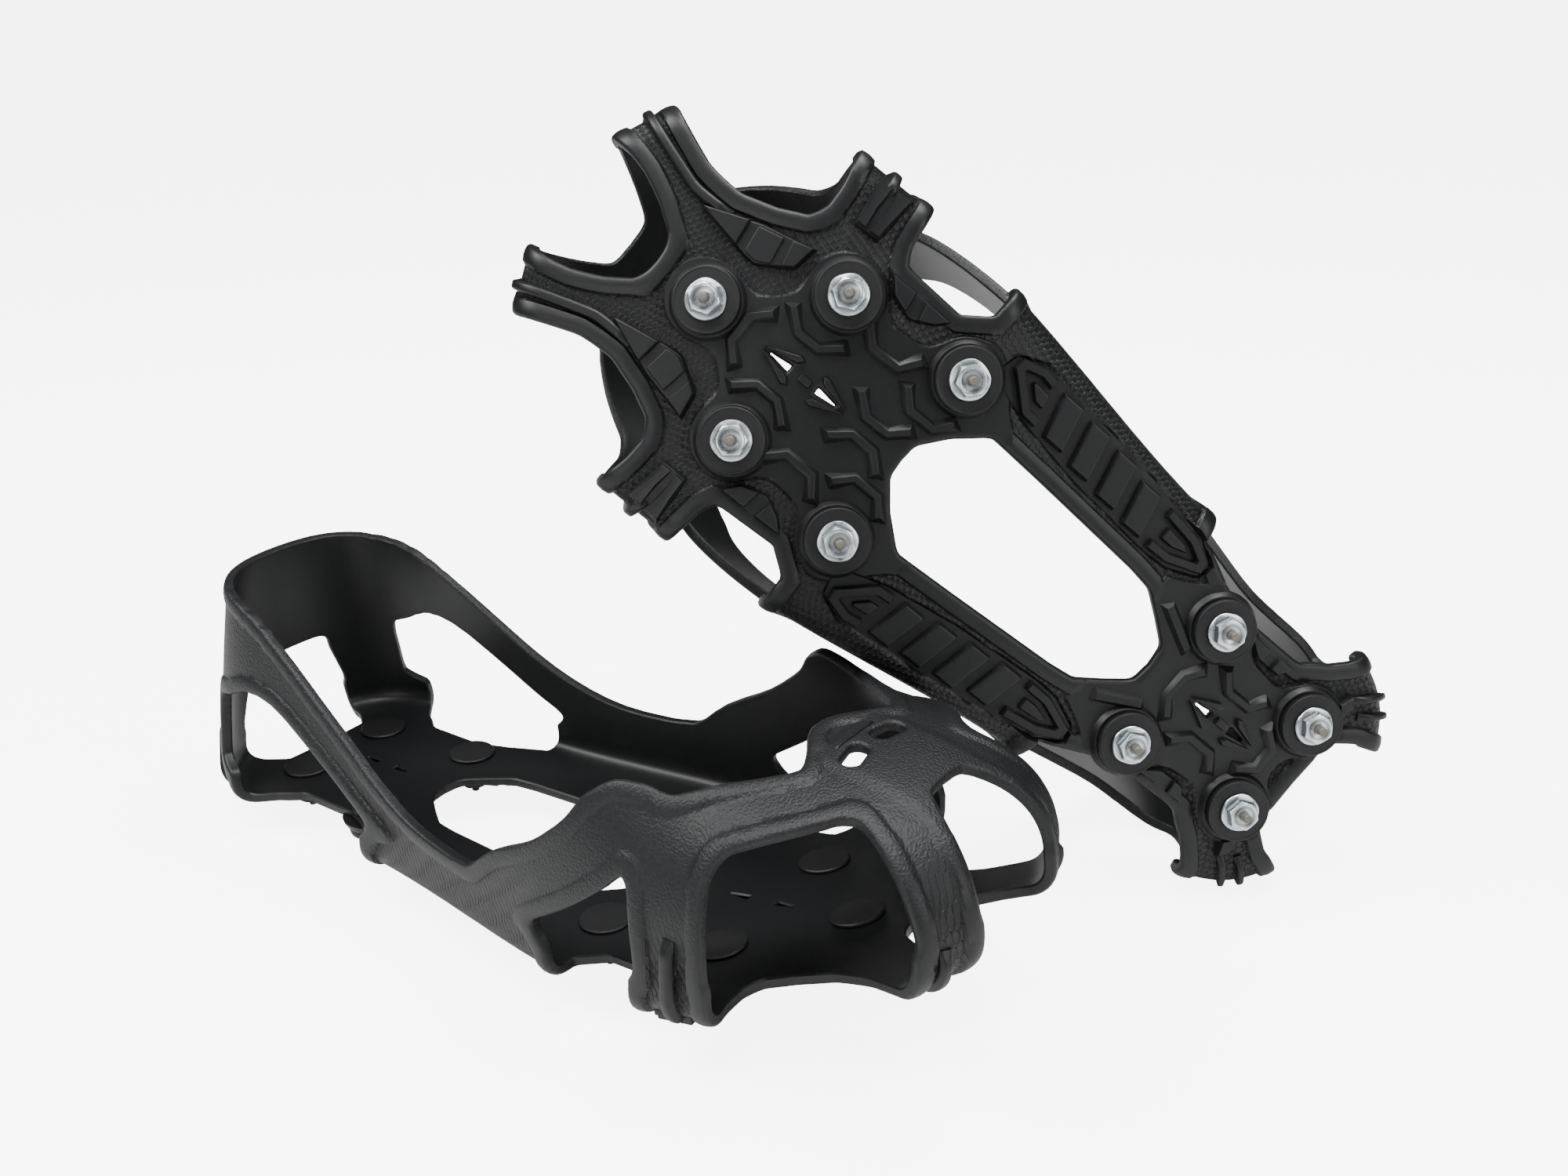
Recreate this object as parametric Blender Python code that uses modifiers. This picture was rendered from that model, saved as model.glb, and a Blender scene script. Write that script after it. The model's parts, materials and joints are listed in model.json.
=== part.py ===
"""A pair of shoe ice cleats: one stands on its studs, the other leans with its sole outwards.

Each cleat is a rubber harness stretched over a boot, with nine screw-in ice studs under the
sole. A stud is three pieces: a spool-shaped base through the web, a hex-headed steel stud and
a hard pin. The heel sling is the part of the harness that is pulled over the boot's heel.

Cleat frame: X to the toe, Y to the left, Z up into the boot, Z = 0 on the web's outer face.
Lengths in the tables below are millimetres; MM turns them into metres.
"""
import math

import bmesh
import bpy
import numpy as np
from mathutils import Matrix, Vector

MM = 0.001

# Boot sole that the harness is stretched over
TOE_CENTRE, TOE_REACH, TOE_POWER = 108.0, 68.0, 2.3      # toe end: superellipse quarter
HEEL_CENTRE, HEEL_REACH, HEEL_POWER = -97.0, 48.5, 2.7   # heel end: superellipse quarter
FORE_HALF, HEEL_HALF = 62.5, 47.5                        # half widths at ball and heel
WAIST_BACK, WAIST_FRONT = -60.0, 90.0                    # the side widens between these
SPRING_START, SPRING_RATE = 32.7, 0.00154                # toe spring: rate * (x - start)^2
CREST_X, CREST_Z, INSTEP_RISE = 100.0, 74.0, 0.6         # top of the toe box, rise behind it
DOME_POWER = 3.0                                         # roundness of the boot's upper
EDGE_ROUND = 6.0                                         # rounding of the sole's edge
TAPER_Z, TAPER_SIDE, TAPER_BACK = 80.0, 0.26, 0.17       # narrowing of the heel with height
TOP_Z = 86.0                                             # the skin is cut off at this height

# Harness
WEB_THICK = 3.4
FILLET = 8.0            # blend between straps
CELL_RIBS, CELL_STEPS = 40, 16
GAP = 0.3               # clearance between touching pieces
SLING_FRONT_X, SLING_BASE_Z = -28.0, 10.0                # the sling is behind and above these
SLING_HINGE = (-149.5, 0.0, SLING_BASE_Z)                # it bends back about this line
TAB_SLOT_PLACE, TAB_SLOT_SIZE = (127.3, 8.7), (5.6, 11.5)
TAB_SLOT_TURN = math.radians(11)

# Studs
STUD_PLACES = (("toe", 123.5, 0.0), ("ball_left", 92.0, 28.1), ("ball_right", 92.0, -28.1),
               ("mid_left", 48.3, 31.6), ("mid_right", 48.3, -31.6),
               ("waist_left", -69.2, 23.6), ("waist_right", -69.2, -23.6),
               ("heel_left", -114.1, 18.5), ("heel_right", -114.1, -18.5))
BOSS_R, BOSS_H = 11.2, 2.2
DISC_R, DISC_TOP, DISC_BOTTOM = 10.4, -BOSS_H - GAP, -5.0
NECK_R, INNER_FLANGE_R, INNER_FLANGE_H = 4.2, 8.6, 1.3
BORE_R, BORE_TOP = 2.3, -0.8
FLANGE_R, FLANGE_H = 6.4, 1.0
HEX_FLATS, HEX_BOTTOM = 9.0, -9.5
SHANK_R, SHANK_TOP = 2.0, -1.4
PIN_R, PIN_TIP, PIN_TOP = 1.3, -12.5, -7.6
SEGMENTS = 12

# Where the two cleats are: the leaning one is turned, set beside the standing one and lowered
# until it touches the floor; the pair is then centred on the origin
STAND_HEIGHT = -PIN_TIP
LEAN_OFFSET = (131.7, 78.2, 109.8)
LEAN_TURN = (math.radians(103.8), math.radians(-41.0), math.radians(-146.6))


def smoothstep(t):
    t = np.clip(t, 0.0, 1.0)
    return t * t * (3.0 - 2.0 * t)


def soft_min(a, b, k):
    """Smaller of two values, rounded over a width k."""
    return 0.5 * (a + b - np.sqrt((a - b) ** 2 + k * k))


def blend_min(a, b, k):
    """Union of two distance fields with a fillet of size k."""
    h = np.clip(0.5 + 0.5 * (b - a) / k, 0.0, 1.0)
    return b + (a - b) * h - k * h * (1.0 - h)


def toe_spring(x):
    return SPRING_RATE * np.maximum(0.0, x - SPRING_START) ** 2


# ---------------------------------------------------------------- the boot's skin

def sole_outline(count):
    """Half outline from toe tip to heel tip in equal steps: superellipse quarters at both ends,
    joined by a side whose half width goes from heel to ball by a smooth step."""
    angle = np.linspace(0.0, math.pi / 2, 240)
    side = np.linspace(TOE_CENTRE, HEEL_CENTRE, 240)
    width = HEEL_HALF + (FORE_HALF - HEEL_HALF) * smoothstep(
        (side - WAIST_BACK) / (WAIST_FRONT - WAIST_BACK))
    x = np.concatenate([TOE_CENTRE + TOE_REACH * np.cos(angle) ** (2 / TOE_POWER), side,
                        HEEL_CENTRE - HEEL_REACH * np.sin(angle) ** (2 / HEEL_POWER)])
    y = np.concatenate([FORE_HALF * np.sin(angle) ** (2 / TOE_POWER), width,
                        HEEL_HALF * np.cos(angle) ** (2 / HEEL_POWER)])
    run = np.concatenate([[0.0], np.cumsum(np.hypot(np.diff(x), np.diff(y)))])
    at = np.linspace(0.0, run[-1], count)
    x, y = np.interp(at, run, x), np.interp(at, run, y)
    y[[0, -1]] = 0.0
    return x, y


def skin_table(ribs=240, steps=160):
    """Skin of the boot as ribs by steps. A rib runs from the sole's middle line straight out to
    the outline, round the sole's edge, and up over the dome towards the crest line."""
    ox, oy = (v[:, None] for v in sole_outline(ribs + 1))
    sole_x = soft_min(ox, STUD_PLACES[0][1], 8.0)
    sole_x = -soft_min(-sole_x, -HEEL_CENTRE, 8.0)
    crest_x = -soft_min(-soft_min(ox, CREST_X, 10.0), -HEEL_CENTRE, 8.0)
    crest_z = CREST_Z + INSTEP_RISE * (CREST_X - crest_x)
    t = np.linspace(0.0, 1.0, 121)[None, :]
    a = 0.5 * math.pi * t ** 1.5 / (t ** 1.5 + (1.0 - t) ** 1.5)
    reach = np.cos(a) ** (2 / DOME_POWER)
    rise = np.sin(a) ** (2 / DOME_POWER)
    edge_z = WEB_THICK + toe_spring(ox)
    wall_z = edge_z + (crest_z - edge_z) * rise
    heelward = smoothstep((30.0 - ox) / 90.0)
    backward = np.clip((HEEL_CENTRE - ox) / HEEL_REACH, 0.0, 1.0) ** 2
    taper = heelward * (TAPER_SIDE + (TAPER_BACK - TAPER_SIDE) * backward)
    reach = reach * (1.0 - taper * np.clip(wall_z / TAPER_Z, 0.0, 2.0) ** 1.3)
    wall = np.stack([crest_x + (ox - crest_x) * reach, oy * reach, wall_z], -1)
    s = np.linspace(0.0, 1.0, 60)[None, :-1]
    floor_x = sole_x + (ox - sole_x) * s
    floor = np.stack([floor_x, oy * s, WEB_THICK + toe_spring(floor_x)], -1)
    path = np.concatenate([floor, wall], 1)
    run = np.concatenate([np.zeros((ribs + 1, 1)),
                          np.cumsum(np.linalg.norm(np.diff(path, axis=1), axis=2), 1)], 1)
    corner = run[:, floor.shape[1]][:, None]
    end = np.where(path[..., 2] <= TOP_Z, run, 0.0).max(1)
    end = np.convolve(np.pad(end, 12, mode="edge"), np.full(25, 1 / 25), "valid")[:, None]
    at = end * np.linspace(0.0, 1.0, steps + 1)[None, :]

    def along(where):
        return np.stack([[np.interp(w, r, p[:, k]) for w, r, p in zip(where, run, path)]
                         for k in range(3)], -1)

    table = along(at)
    before, after = along(corner - EDGE_ROUND), along(corner + EDGE_ROUND)
    middle = along(corner)
    f = np.clip((at - corner + EDGE_ROUND) / (2 * EDGE_ROUND), 0.0, 1.0)[..., None]
    curve = (1 - f) ** 2 * before + 2 * f * (1 - f) * middle + f ** 2 * after
    near = np.abs(at - corner)[..., None] < EDGE_ROUND
    table = np.where(near, curve, table)
    table[[0, -1], :, 1] = 0.0
    return table


SKIN = skin_table()


def on_skin(u, v):
    """Point of the skin at fractions u (toe to heel) and v (middle line to top), in mm."""
    ribs, steps = SKIN.shape[0] - 1, SKIN.shape[1] - 1
    fu, fv = np.clip(u, 0, 1) * ribs, np.clip(v, 0, 1) * steps
    iu, iv = np.minimum(fu.astype(int), ribs - 1), np.minimum(fv.astype(int), steps - 1)
    du, dv = (fu - iu)[..., None], (fv - iv)[..., None]
    near = SKIN[iu, iv] * (1 - dv) + SKIN[iu, iv + 1] * dv
    far = SKIN[iu + 1, iv] * (1 - dv) + SKIN[iu + 1, iv + 1] * dv
    return near * (1 - du) + far * du


# ---------------------------------------------------------------- the harness outline

WEB = ((141, -1), (143, 10), (150, 16.5), (160, 21), (174, 23), (176, 40), (158, 34), (148, 31),
       (135, 32), (124, 35.5), (116, 39.5), (111, 45), (110.5, 52), (113, 66), (90, 66), (88, 51),
       (84, 46.5), (62, 45.5), (53, 52), (50, 66), (20, 68), (-20, 64), (-42, 56), (-47, 42),
       (-62, 35.5), (-74, 31.5), (-100, 31.5), (-110, 35), (-117, 43), (-120, 56), (-150, 54),
       (-152, 28), (-134, 24), (-126, 18), (-125, -1))
WINDOW = ((-61, -1), (-58, 7), (-50, 13), (-42, 18.5), (-33, 19.7), (8, 22), (30, 23), (40, 14.5),
          (47, 6), (49, -1))
# straps on the left side: rows of x, y, z, half width
STRAPS = (
    ((140, 18, 20, 9), (154, 25, 24, 8), (168, 31, 30, 8.5), (171, 30, 42, 9.5),
     (165, 28, 56, 10), (156, 24, 65, 10.5), (144, 18, 72, 12), (132, 12, 74, 14)),
    ((132, 10, 74, 14), (130, 25, 68, 11), (120, 35, 65, 10.5), (108, 42, 62, 10.5),
     (94, 48, 57, 11), (79, 51, 59, 12.5), (70, 54, 50, 11.5), (54, 58, 38, 11),
     (36, 58, 27, 12), (24, 56, 15, 13)),
    ((137, 0, 72.5, 14.5), (123, 0, 74.5, 14.5)),
    ((100, 46, 4, 12.5), (101, 61, 10, 12.5), (102, 62, 24, 12.5), (100, 58, 42, 13),
     (98, 52, 54, 13)),
    ((38, 60, 8, 13), (10, 56, 8, 14), (-18, 52, 10, 12), (-34, 50, 10, 9)),
    ((10, 56, 14, 11), (-15, 53, 18, 9), (-40, 50, 27, 8.5), (-64, 46, 41, 8.5),
     (-89, 41, 55, 10), (-110, 37, 61, 15), (-128, 28, 59, 21), (-138, 0, 60, 22)),
    ((-112, 27, 4, 10), (-128, 38, 5, 11.5), (-137, 38, 14, 11.5), (-137, 32, 34, 13)),
)
SLOTS = ((79, 9, 4.2), (94, 8, 4.0), (-98, 7, 3.8), (-85, 7, 3.8))   # x, length, width


def polygon_distance(x, y, corners):
    """Signed distance to a polygon, negative inside."""
    pts = np.array(corners, float)
    p = np.stack([x, y], -1)[..., None, :]
    a, b = pts, np.roll(pts, -1, 0)
    edge = b - a
    t = np.clip(((p - a) * edge).sum(-1) / (edge ** 2).sum(-1), 0.0, 1.0)
    gap = np.linalg.norm(p - (a + t[..., None] * edge), axis=-1).min(-1)
    up = (a[:, 1] <= p[..., 1]) != (b[:, 1] <= p[..., 1])
    rise = np.where(edge[:, 1] == 0, 1e-9, edge[:, 1])
    cross = a[:, 0] + (p[..., 1] - a[:, 1]) * edge[:, 0] / rise > p[..., 0]
    inside = (up & cross).sum(-1) % 2 == 1
    return np.where(inside, -gap, gap)


def strap_distance(p, rows):
    """Distance to a strap: its middle line is laid on the skin, its half width is taken off."""
    rows = np.array(rows, float)
    flat = SKIN.reshape(-1, 3)
    line = flat[[np.linalg.norm(flat - r, axis=1).argmin() for r in rows[:, :3]]]
    best = np.full(p.shape[:-1], 1e3)
    for a, b, wa, wb in zip(line[:-1], line[1:], rows[:-1, 3], rows[1:, 3]):
        edge = b - a
        t = np.clip(((p - a) @ edge) / (edge @ edge), 0.0, 1.0)
        reach = np.linalg.norm(p - a - t[..., None] * edge, axis=-1) - (wa + (wb - wa) * t)
        best = np.minimum(best, reach)
    return best


def harness_distance(p):
    """Negative where the harness is: web and straps run together, less the waist window."""
    x, y, z = p[..., 0], p[..., 1], p[..., 2]
    height = z - toe_spring(x) - WEB_THICK
    field = np.maximum(polygon_distance(x, y, WEB), height - 9.0)
    for rows in STRAPS:
        field = blend_min(field, strap_distance(p, rows), FILLET)
    window = np.maximum(-polygon_distance(x, y, WINDOW), -1e3)
    return np.where(height < 6.0, np.maximum(field, window), field)


# ---------------------------------------------------------------- Blender helpers

def clear_scene():
    for obj in list(bpy.data.objects):
        bpy.data.objects.remove(obj, do_unlink=True)


def collection(name):
    group = bpy.data.collections.new(name)
    bpy.context.scene.collection.children.link(group)
    return group


def material(name, colour, roughness, metallic=0.0):
    mat = bpy.data.materials.new(name)
    mat.use_nodes = True
    shader = mat.node_tree.nodes["Principled BSDF"]
    shader.inputs["Base Color"].default_value = (*colour, 1.0)
    shader.inputs["Roughness"].default_value = roughness
    shader.inputs["Metallic"].default_value = metallic
    return mat


def mesh_object(name, bm, group):
    mesh = bpy.data.meshes.new(name)
    bm.to_mesh(mesh)
    bm.free()
    obj = bpy.data.objects.new(name, mesh)
    group.objects.link(obj)
    return obj


def cut(obj, tool, operation):
    mod = obj.modifiers.new(operation.lower(), "BOOLEAN")
    mod.operation = operation
    mod.solver = "EXACT"
    mod.object = tool


def baked(obj, name):
    """Mesh with the object's modifiers applied."""
    bpy.context.view_layer.update()
    graph = bpy.context.evaluated_depsgraph_get()
    mesh = bpy.data.meshes.new_from_object(obj.evaluated_get(graph))
    mesh.name = name
    return mesh


def guide(obj):
    obj.hide_render = True
    obj.display_type = "WIRE"
    return obj


# ---------------------------------------------------------------- harness

def harness_sheet(group):
    """Left half of the harness as an open sheet on the boot's skin. The sheet starts as a flat
    grid of skin fractions, is cut along the outline of the straps, and is then bent into place."""
    bm = bmesh.new()
    bmesh.ops.create_grid(bm, x_segments=CELL_RIBS, y_segments=CELL_STEPS, size=1.0)
    for vert in bm.verts:
        vert.co = Vector(((vert.co.x + 1) / 2, (vert.co.y + 1) / 2, 0.0))
    bm.verts.index_update()
    uv = np.array([v.co[:2] for v in bm.verts])
    field = harness_distance(on_skin(uv[:, 0], uv[:, 1]))
    side = {v: f for v, f in zip(bm.verts, field)}
    rim = []
    for edge in list(bm.edges):
        a, b = edge.verts
        if side[a] * side[b] < 0:
            share = min(max(side[a] / (side[a] - side[b]), 0.12), 0.88)
            _, new = bmesh.utils.edge_split(edge, a, share)
            side[new] = 0.0
            rim.append(new)
    bmesh.ops.connect_verts(bm, verts=rim)
    outside = [f for f in bm.faces if any(side.get(v, 0.0) > 0 for v in f.verts)]
    bmesh.ops.delete(bm, geom=outside, context="FACES")
    uv = np.array([v.co[:2] for v in bm.verts])
    for vert, place in zip(bm.verts, on_skin(uv[:, 0], uv[:, 1])):
        vert.co = Vector(place * MM)
    bmesh.ops.remove_doubles(bm, verts=bm.verts, dist=0.00005)
    bmesh.ops.dissolve_degenerate(bm, edges=bm.edges, dist=0.00005)
    bmesh.ops.recalc_face_normals(bm, faces=bm.faces)
    bm.normal_update()
    lowest = min(bm.faces, key=lambda f: f.calc_center_median().z)
    if lowest.normal.z > 0:
        bmesh.ops.reverse_faces(bm, faces=bm.faces)
    return mesh_object("harness_sheet", bm, group)


def thicken(obj):
    """Mirror the half across the middle plane, then give the sheet its thickness outwards."""
    mirror = obj.modifiers.new("mirror", "MIRROR")
    mirror.use_axis = (False, True, False)
    mirror.use_clip = True
    mirror.merge_threshold = 0.00005
    shell = obj.modifiers.new("shell", "SOLIDIFY")
    shell.thickness = WEB_THICK * MM
    shell.offset = 1.0


def stud_frame(x, y):
    """Placement of a stud: its foot on the web's outer face, its axis square to the web."""
    slope = 2 * SPRING_RATE * max(0.0, x - SPRING_START)
    turn = Matrix.Rotation(-math.atan(slope), 4, "Y")
    return Matrix.Translation(Vector((x, y, toe_spring(np.float64(x)))) * MM) @ turn


def cylinders(name, radius, low, high, group, segments=SEGMENTS):
    """One cylinder at every stud, between two heights along the stud's axis."""
    bm = bmesh.new()
    for _, x, y in STUD_PLACES:
        place = stud_frame(x, y) @ Matrix.Translation((0, 0, (low + high) / 2 * MM))
        bmesh.ops.create_cone(bm, cap_ends=True, segments=segments, radius1=radius * MM,
                              radius2=radius * MM, depth=(high - low) * MM, matrix=place)
    return guide(mesh_object(name, bm, group))


def slot_cutters(group):
    """Prisms for the through slots: diamonds along the middle line, two ovals in the toe tab."""
    bm = bmesh.new()
    for side in (1, -1):
        spot = Vector((TAB_SLOT_PLACE[0], side * TAB_SLOT_PLACE[1], CREST_Z)) * MM
        shape = (Matrix.Translation(spot) @ Matrix.Rotation(side * TAB_SLOT_TURN, 4, "Z")
                 @ Matrix.Diagonal((TAB_SLOT_SIZE[0] * MM, TAB_SLOT_SIZE[1] * MM, 40 * MM, 1.0)))
        bmesh.ops.create_cone(bm, cap_ends=True, segments=8, radius1=0.5, radius2=0.5,
                              depth=1.0, matrix=shape)
    for x, length, width in SLOTS:
        place = Matrix.Translation(Vector((x, 0, toe_spring(np.float64(x)))) * MM)
        shape = place @ Matrix.Diagonal((length * MM, width * MM, 20 * MM, 1.0))
        bmesh.ops.create_cone(bm, cap_ends=True, segments=4, radius1=0.5, radius2=0.5,
                              depth=1.0, matrix=shape)
    return guide(mesh_object("slot_cutters", bm, group))


def box_tool(name, low, high, group):
    bm = bmesh.new()
    bmesh.ops.create_cube(bm, size=1.0)
    low, high = Vector(low) * MM, Vector(high) * MM
    bmesh.ops.scale(bm, vec=high - low, verts=bm.verts)
    bmesh.ops.translate(bm, vec=(high + low) / 2, verts=bm.verts)
    return guide(mesh_object(name, bm, group))


def harness_meshes(tools):
    """The rubber moulding as two solids: toe harness with the sole web, and heel sling."""
    harness = harness_sheet(tools)
    thicken(harness)
    sling = harness.copy()
    tools.objects.link(sling)
    back = box_tool("behind", (-260, -90, SLING_BASE_Z), (SLING_FRONT_X, 90, 120), tools)
    kept = box_tool("sling_space", (-260, -90, SLING_BASE_Z + GAP),
                    (SLING_FRONT_X - GAP, 90, 120), tools)
    cut(harness, cylinders("bosses", BOSS_R, -BOSS_H, 1.5, tools), "UNION")
    cut(harness, cylinders("neck_holes", NECK_R + GAP, -20, 20, tools), "DIFFERENCE")
    cut(harness, slot_cutters(tools), "DIFFERENCE")
    cut(harness, back, "DIFFERENCE")
    cut(sling, kept, "INTERSECT")
    return baked(harness, "harness"), baked(sling, "heel_sling")


# ---------------------------------------------------------------- studs

def turned(name, profile, group, steps=SEGMENTS):
    """Solid of revolution from rows of radius and height, outer side first, top to bottom."""
    bm = bmesh.new()
    verts = [bm.verts.new((r * MM, 0.0, z * MM)) for r, z in profile]
    for a, b in zip(verts[:-1], verts[1:]):
        bm.edges.new((a, b))
    obj = mesh_object(name, bm, group)
    screw = obj.modifiers.new("turn", "SCREW")
    screw.axis = "Z"
    screw.steps = steps
    screw.render_steps = steps
    screw.use_merge_vertices = True
    screw.merge_threshold = 0.00005
    return obj


def base_mesh(tools):
    """Spool-shaped base: inner flange, neck through the web, outer disc, blind screw bore."""
    top = WEB_THICK + GAP + INNER_FLANGE_H
    profile = ((0, top), (INNER_FLANGE_R, top), (INNER_FLANGE_R, WEB_THICK + GAP),
               (NECK_R, WEB_THICK + GAP), (NECK_R, DISC_TOP), (DISC_R, DISC_TOP),
               (DISC_R, DISC_BOTTOM), (BORE_R, DISC_BOTTOM), (BORE_R, BORE_TOP), (0, BORE_TOP))
    return baked(turned("base", profile, tools), "stud_base")


def stud_mesh(tools):
    """Steel stud: shank in the base, round flange, hex head with a bore for the pin."""
    flange_top = DISC_BOTTOM - GAP
    flange_bottom = flange_top - FLANGE_H
    profile = ((0, SHANK_TOP), (SHANK_R, SHANK_TOP), (SHANK_R, flange_top),
               (FLANGE_R, flange_top), (FLANGE_R, flange_bottom), (0, flange_bottom))
    stud = turned("stud", profile, tools)
    bm = bmesh.new()
    hex_r = HEX_FLATS / math.sqrt(3)
    middle = (HEX_BOTTOM + flange_bottom + 0.4) / 2
    bmesh.ops.create_cone(bm, cap_ends=True, segments=6, radius1=hex_r * MM, radius2=hex_r * MM,
                          depth=(flange_bottom + 0.4 - HEX_BOTTOM) * MM,
                          matrix=Matrix.Translation((0, 0, middle * MM)))
    head = guide(mesh_object("hex_head", bm, tools))
    bm = bmesh.new()
    bmesh.ops.create_cone(bm, cap_ends=True, segments=6, radius1=(PIN_R + 2 * GAP) * MM,
                          radius2=(PIN_R + 2 * GAP) * MM,
                          depth=2 * (PIN_TOP + GAP - HEX_BOTTOM) * MM,
                          matrix=Matrix.Translation((0, 0, HEX_BOTTOM * MM)))
    bore = guide(mesh_object("pin_bore", bm, tools))
    cut(stud, head, "UNION")
    cut(stud, bore, "DIFFERENCE")
    return baked(stud, "hex_stud")


def pin_mesh(tools):
    profile = ((0, PIN_TOP), (PIN_R, PIN_TOP), (PIN_R, PIN_TIP), (0, PIN_TIP))
    return baked(turned("pin", profile, tools, 8), "carbide_pin")


# ---------------------------------------------------------------- assembly

def place(name, mesh, mat, matrix, parent, group):
    obj = bpy.data.objects.new(name, mesh)
    group.objects.link(obj)
    obj.parent = parent
    obj.matrix_local = matrix
    if not mesh.materials:
        mesh.materials.append(mat)
    return obj


def cleat(prefix, meshes, mats, group):
    """All pieces of one cleat under an empty that carries its place.

    The heel sling hangs from its own empty, which sits on the line it bends about.
    """
    root = bpy.data.objects.new(prefix + "_cleat", None)
    bend = bpy.data.objects.new(prefix + "_sling_bend", None)
    for empty in (root, bend):
        group.objects.link(empty)
    hinge = Matrix.Translation(Vector(SLING_HINGE) * MM)
    bend.parent = root
    bend.matrix_local = hinge
    place(prefix + "_harness", meshes["harness"], mats["rubber"], Matrix(), root, group)
    place(prefix + "_heel_sling", meshes["sling"], mats["sling"], hinge.inverted(), bend, group)
    for label, x, y in STUD_PLACES:
        seat = stud_frame(x, y)
        name = prefix + "_" + label
        place(name + "_stud_base", meshes["base"], mats["plastic"], seat, root, group)
        place(name + "_hex_stud", meshes["stud"], mats["zinc"], seat, root, group)
        place(name + "_carbide_pin", meshes["pin"], mats["carbide"], seat, root, group)
    return root


def bounds(*roots):
    """Lowest and highest corners of the pieces under the given empties."""
    bpy.context.view_layer.update()
    points = [child.matrix_world @ v.co for root in roots for child in root.children_recursive
              if child.type == "MESH" for v in child.data.vertices]
    return (Vector([min(p[k] for p in points) for k in range(3)]),
            Vector([max(p[k] for p in points) for k in range(3)]))


def main():
    clear_scene()
    parts = collection("shoe_ice_cleats")
    tools = collection("cutters")
    mats = {
        "rubber": material("harness rubber", (0.018, 0.019, 0.020), 0.62),
        "sling": material("sling rubber", (0.018, 0.019, 0.020), 0.62),
        "plastic": material("base plastic", (0.008, 0.008, 0.009), 0.55),
        "zinc": material("zinc plated steel", (0.78, 0.80, 0.80), 0.28, 1.0),
        "carbide": material("tungsten carbide", (0.30, 0.27, 0.24), 0.42, 1.0),
    }
    harness, sling = harness_meshes(tools)
    meshes = {"harness": harness, "sling": sling, "base": base_mesh(tools),
              "stud": stud_mesh(tools), "pin": pin_mesh(tools)}
    for tool in list(tools.objects):
        bpy.data.objects.remove(tool, do_unlink=True)
    stand = Vector((0.0, 0.0, STAND_HEIGHT)) * MM
    front = cleat("front", meshes, mats, parts)
    front.location = stand
    leaning = cleat("leaning", meshes, mats, parts)
    leaning.location = stand + Vector(LEAN_OFFSET) * MM
    leaning.rotation_euler = LEAN_TURN
    leaning.location.z -= bounds(leaning)[0].z
    low, high = bounds(front, leaning)
    for root in (front, leaning):
        root.location.x -= (low.x + high.x) / 2
        root.location.y -= (low.y + high.y) / 2


main()
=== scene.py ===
import json
import math

import bpy
import numpy as np
from mathutils import Euler, Matrix, Vector


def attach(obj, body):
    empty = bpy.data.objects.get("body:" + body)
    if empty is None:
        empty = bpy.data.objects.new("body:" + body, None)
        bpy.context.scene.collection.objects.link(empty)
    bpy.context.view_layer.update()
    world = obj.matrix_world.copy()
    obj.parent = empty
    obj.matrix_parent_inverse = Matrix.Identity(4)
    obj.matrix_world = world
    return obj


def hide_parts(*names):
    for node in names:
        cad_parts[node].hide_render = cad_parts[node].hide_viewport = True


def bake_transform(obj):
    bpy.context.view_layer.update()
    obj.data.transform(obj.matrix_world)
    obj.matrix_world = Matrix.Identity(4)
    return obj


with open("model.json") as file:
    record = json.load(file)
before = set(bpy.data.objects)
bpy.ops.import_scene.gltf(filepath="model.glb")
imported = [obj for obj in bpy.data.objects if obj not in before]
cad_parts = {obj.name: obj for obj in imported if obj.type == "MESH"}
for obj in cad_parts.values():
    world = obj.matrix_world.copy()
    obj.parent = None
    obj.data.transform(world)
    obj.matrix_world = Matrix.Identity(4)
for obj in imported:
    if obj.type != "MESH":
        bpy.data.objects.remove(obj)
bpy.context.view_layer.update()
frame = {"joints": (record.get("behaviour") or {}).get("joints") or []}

MM = 0.001

# ------------------------------------------------------------------ sizes of one cleat, in mm
# Cleat frame: X to the toe, Y to the left, Z up into the boot, Z = 0 on the web's outer face.
TOE_CENTRE, TOE_REACH, TOE_POWER = 108.0, 68.0, 2.3
HEEL_CENTRE, HEEL_REACH, HEEL_POWER = -97.0, 48.5, 2.7
FORE_HALF, HEEL_HALF = 62.5, 47.5
WAIST_BACK, WAIST_FRONT = -60.0, 90.0
SPRING_START, SPRING_RATE = 32.7, 0.00154
CREST_X, CREST_Z, INSTEP_RISE = 100.0, 74.0, 0.6
DOME_POWER = 3.0
EDGE_ROUND = 6.0
TAPER_Z, TAPER_SIDE, TAPER_BACK = 80.0, 0.26, 0.17
TOP_Z = 86.0
THICK = 3.4                 # harness wall
FILLET = 8.0
LIP = 1.3                   # radius of the harness's outer edge
GRID_RIBS, GRID_STEPS = 244, 100
RIM = 5.2                   # width of the raised rim along every edge
RECESS, LADDER_RECESS = 1.2, 2.1
SLING_HINGE = (-149.5, 0.0, 10.0)
LEAN_TURN = (math.radians(103.8), math.radians(-41.0), math.radians(-146.6))

STUDS = {"toe": (123.5, 0.0), "ball_left": (92.0, 28.1), "ball_right": (92.0, -28.1),
         "mid_left": (48.3, 31.6), "mid_right": (48.3, -31.6),
         "waist_left": (-69.2, 23.6), "waist_right": (-69.2, -23.6),
         "heel_left": (-114.1, 18.5), "heel_right": (-114.1, -18.5)}

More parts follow.
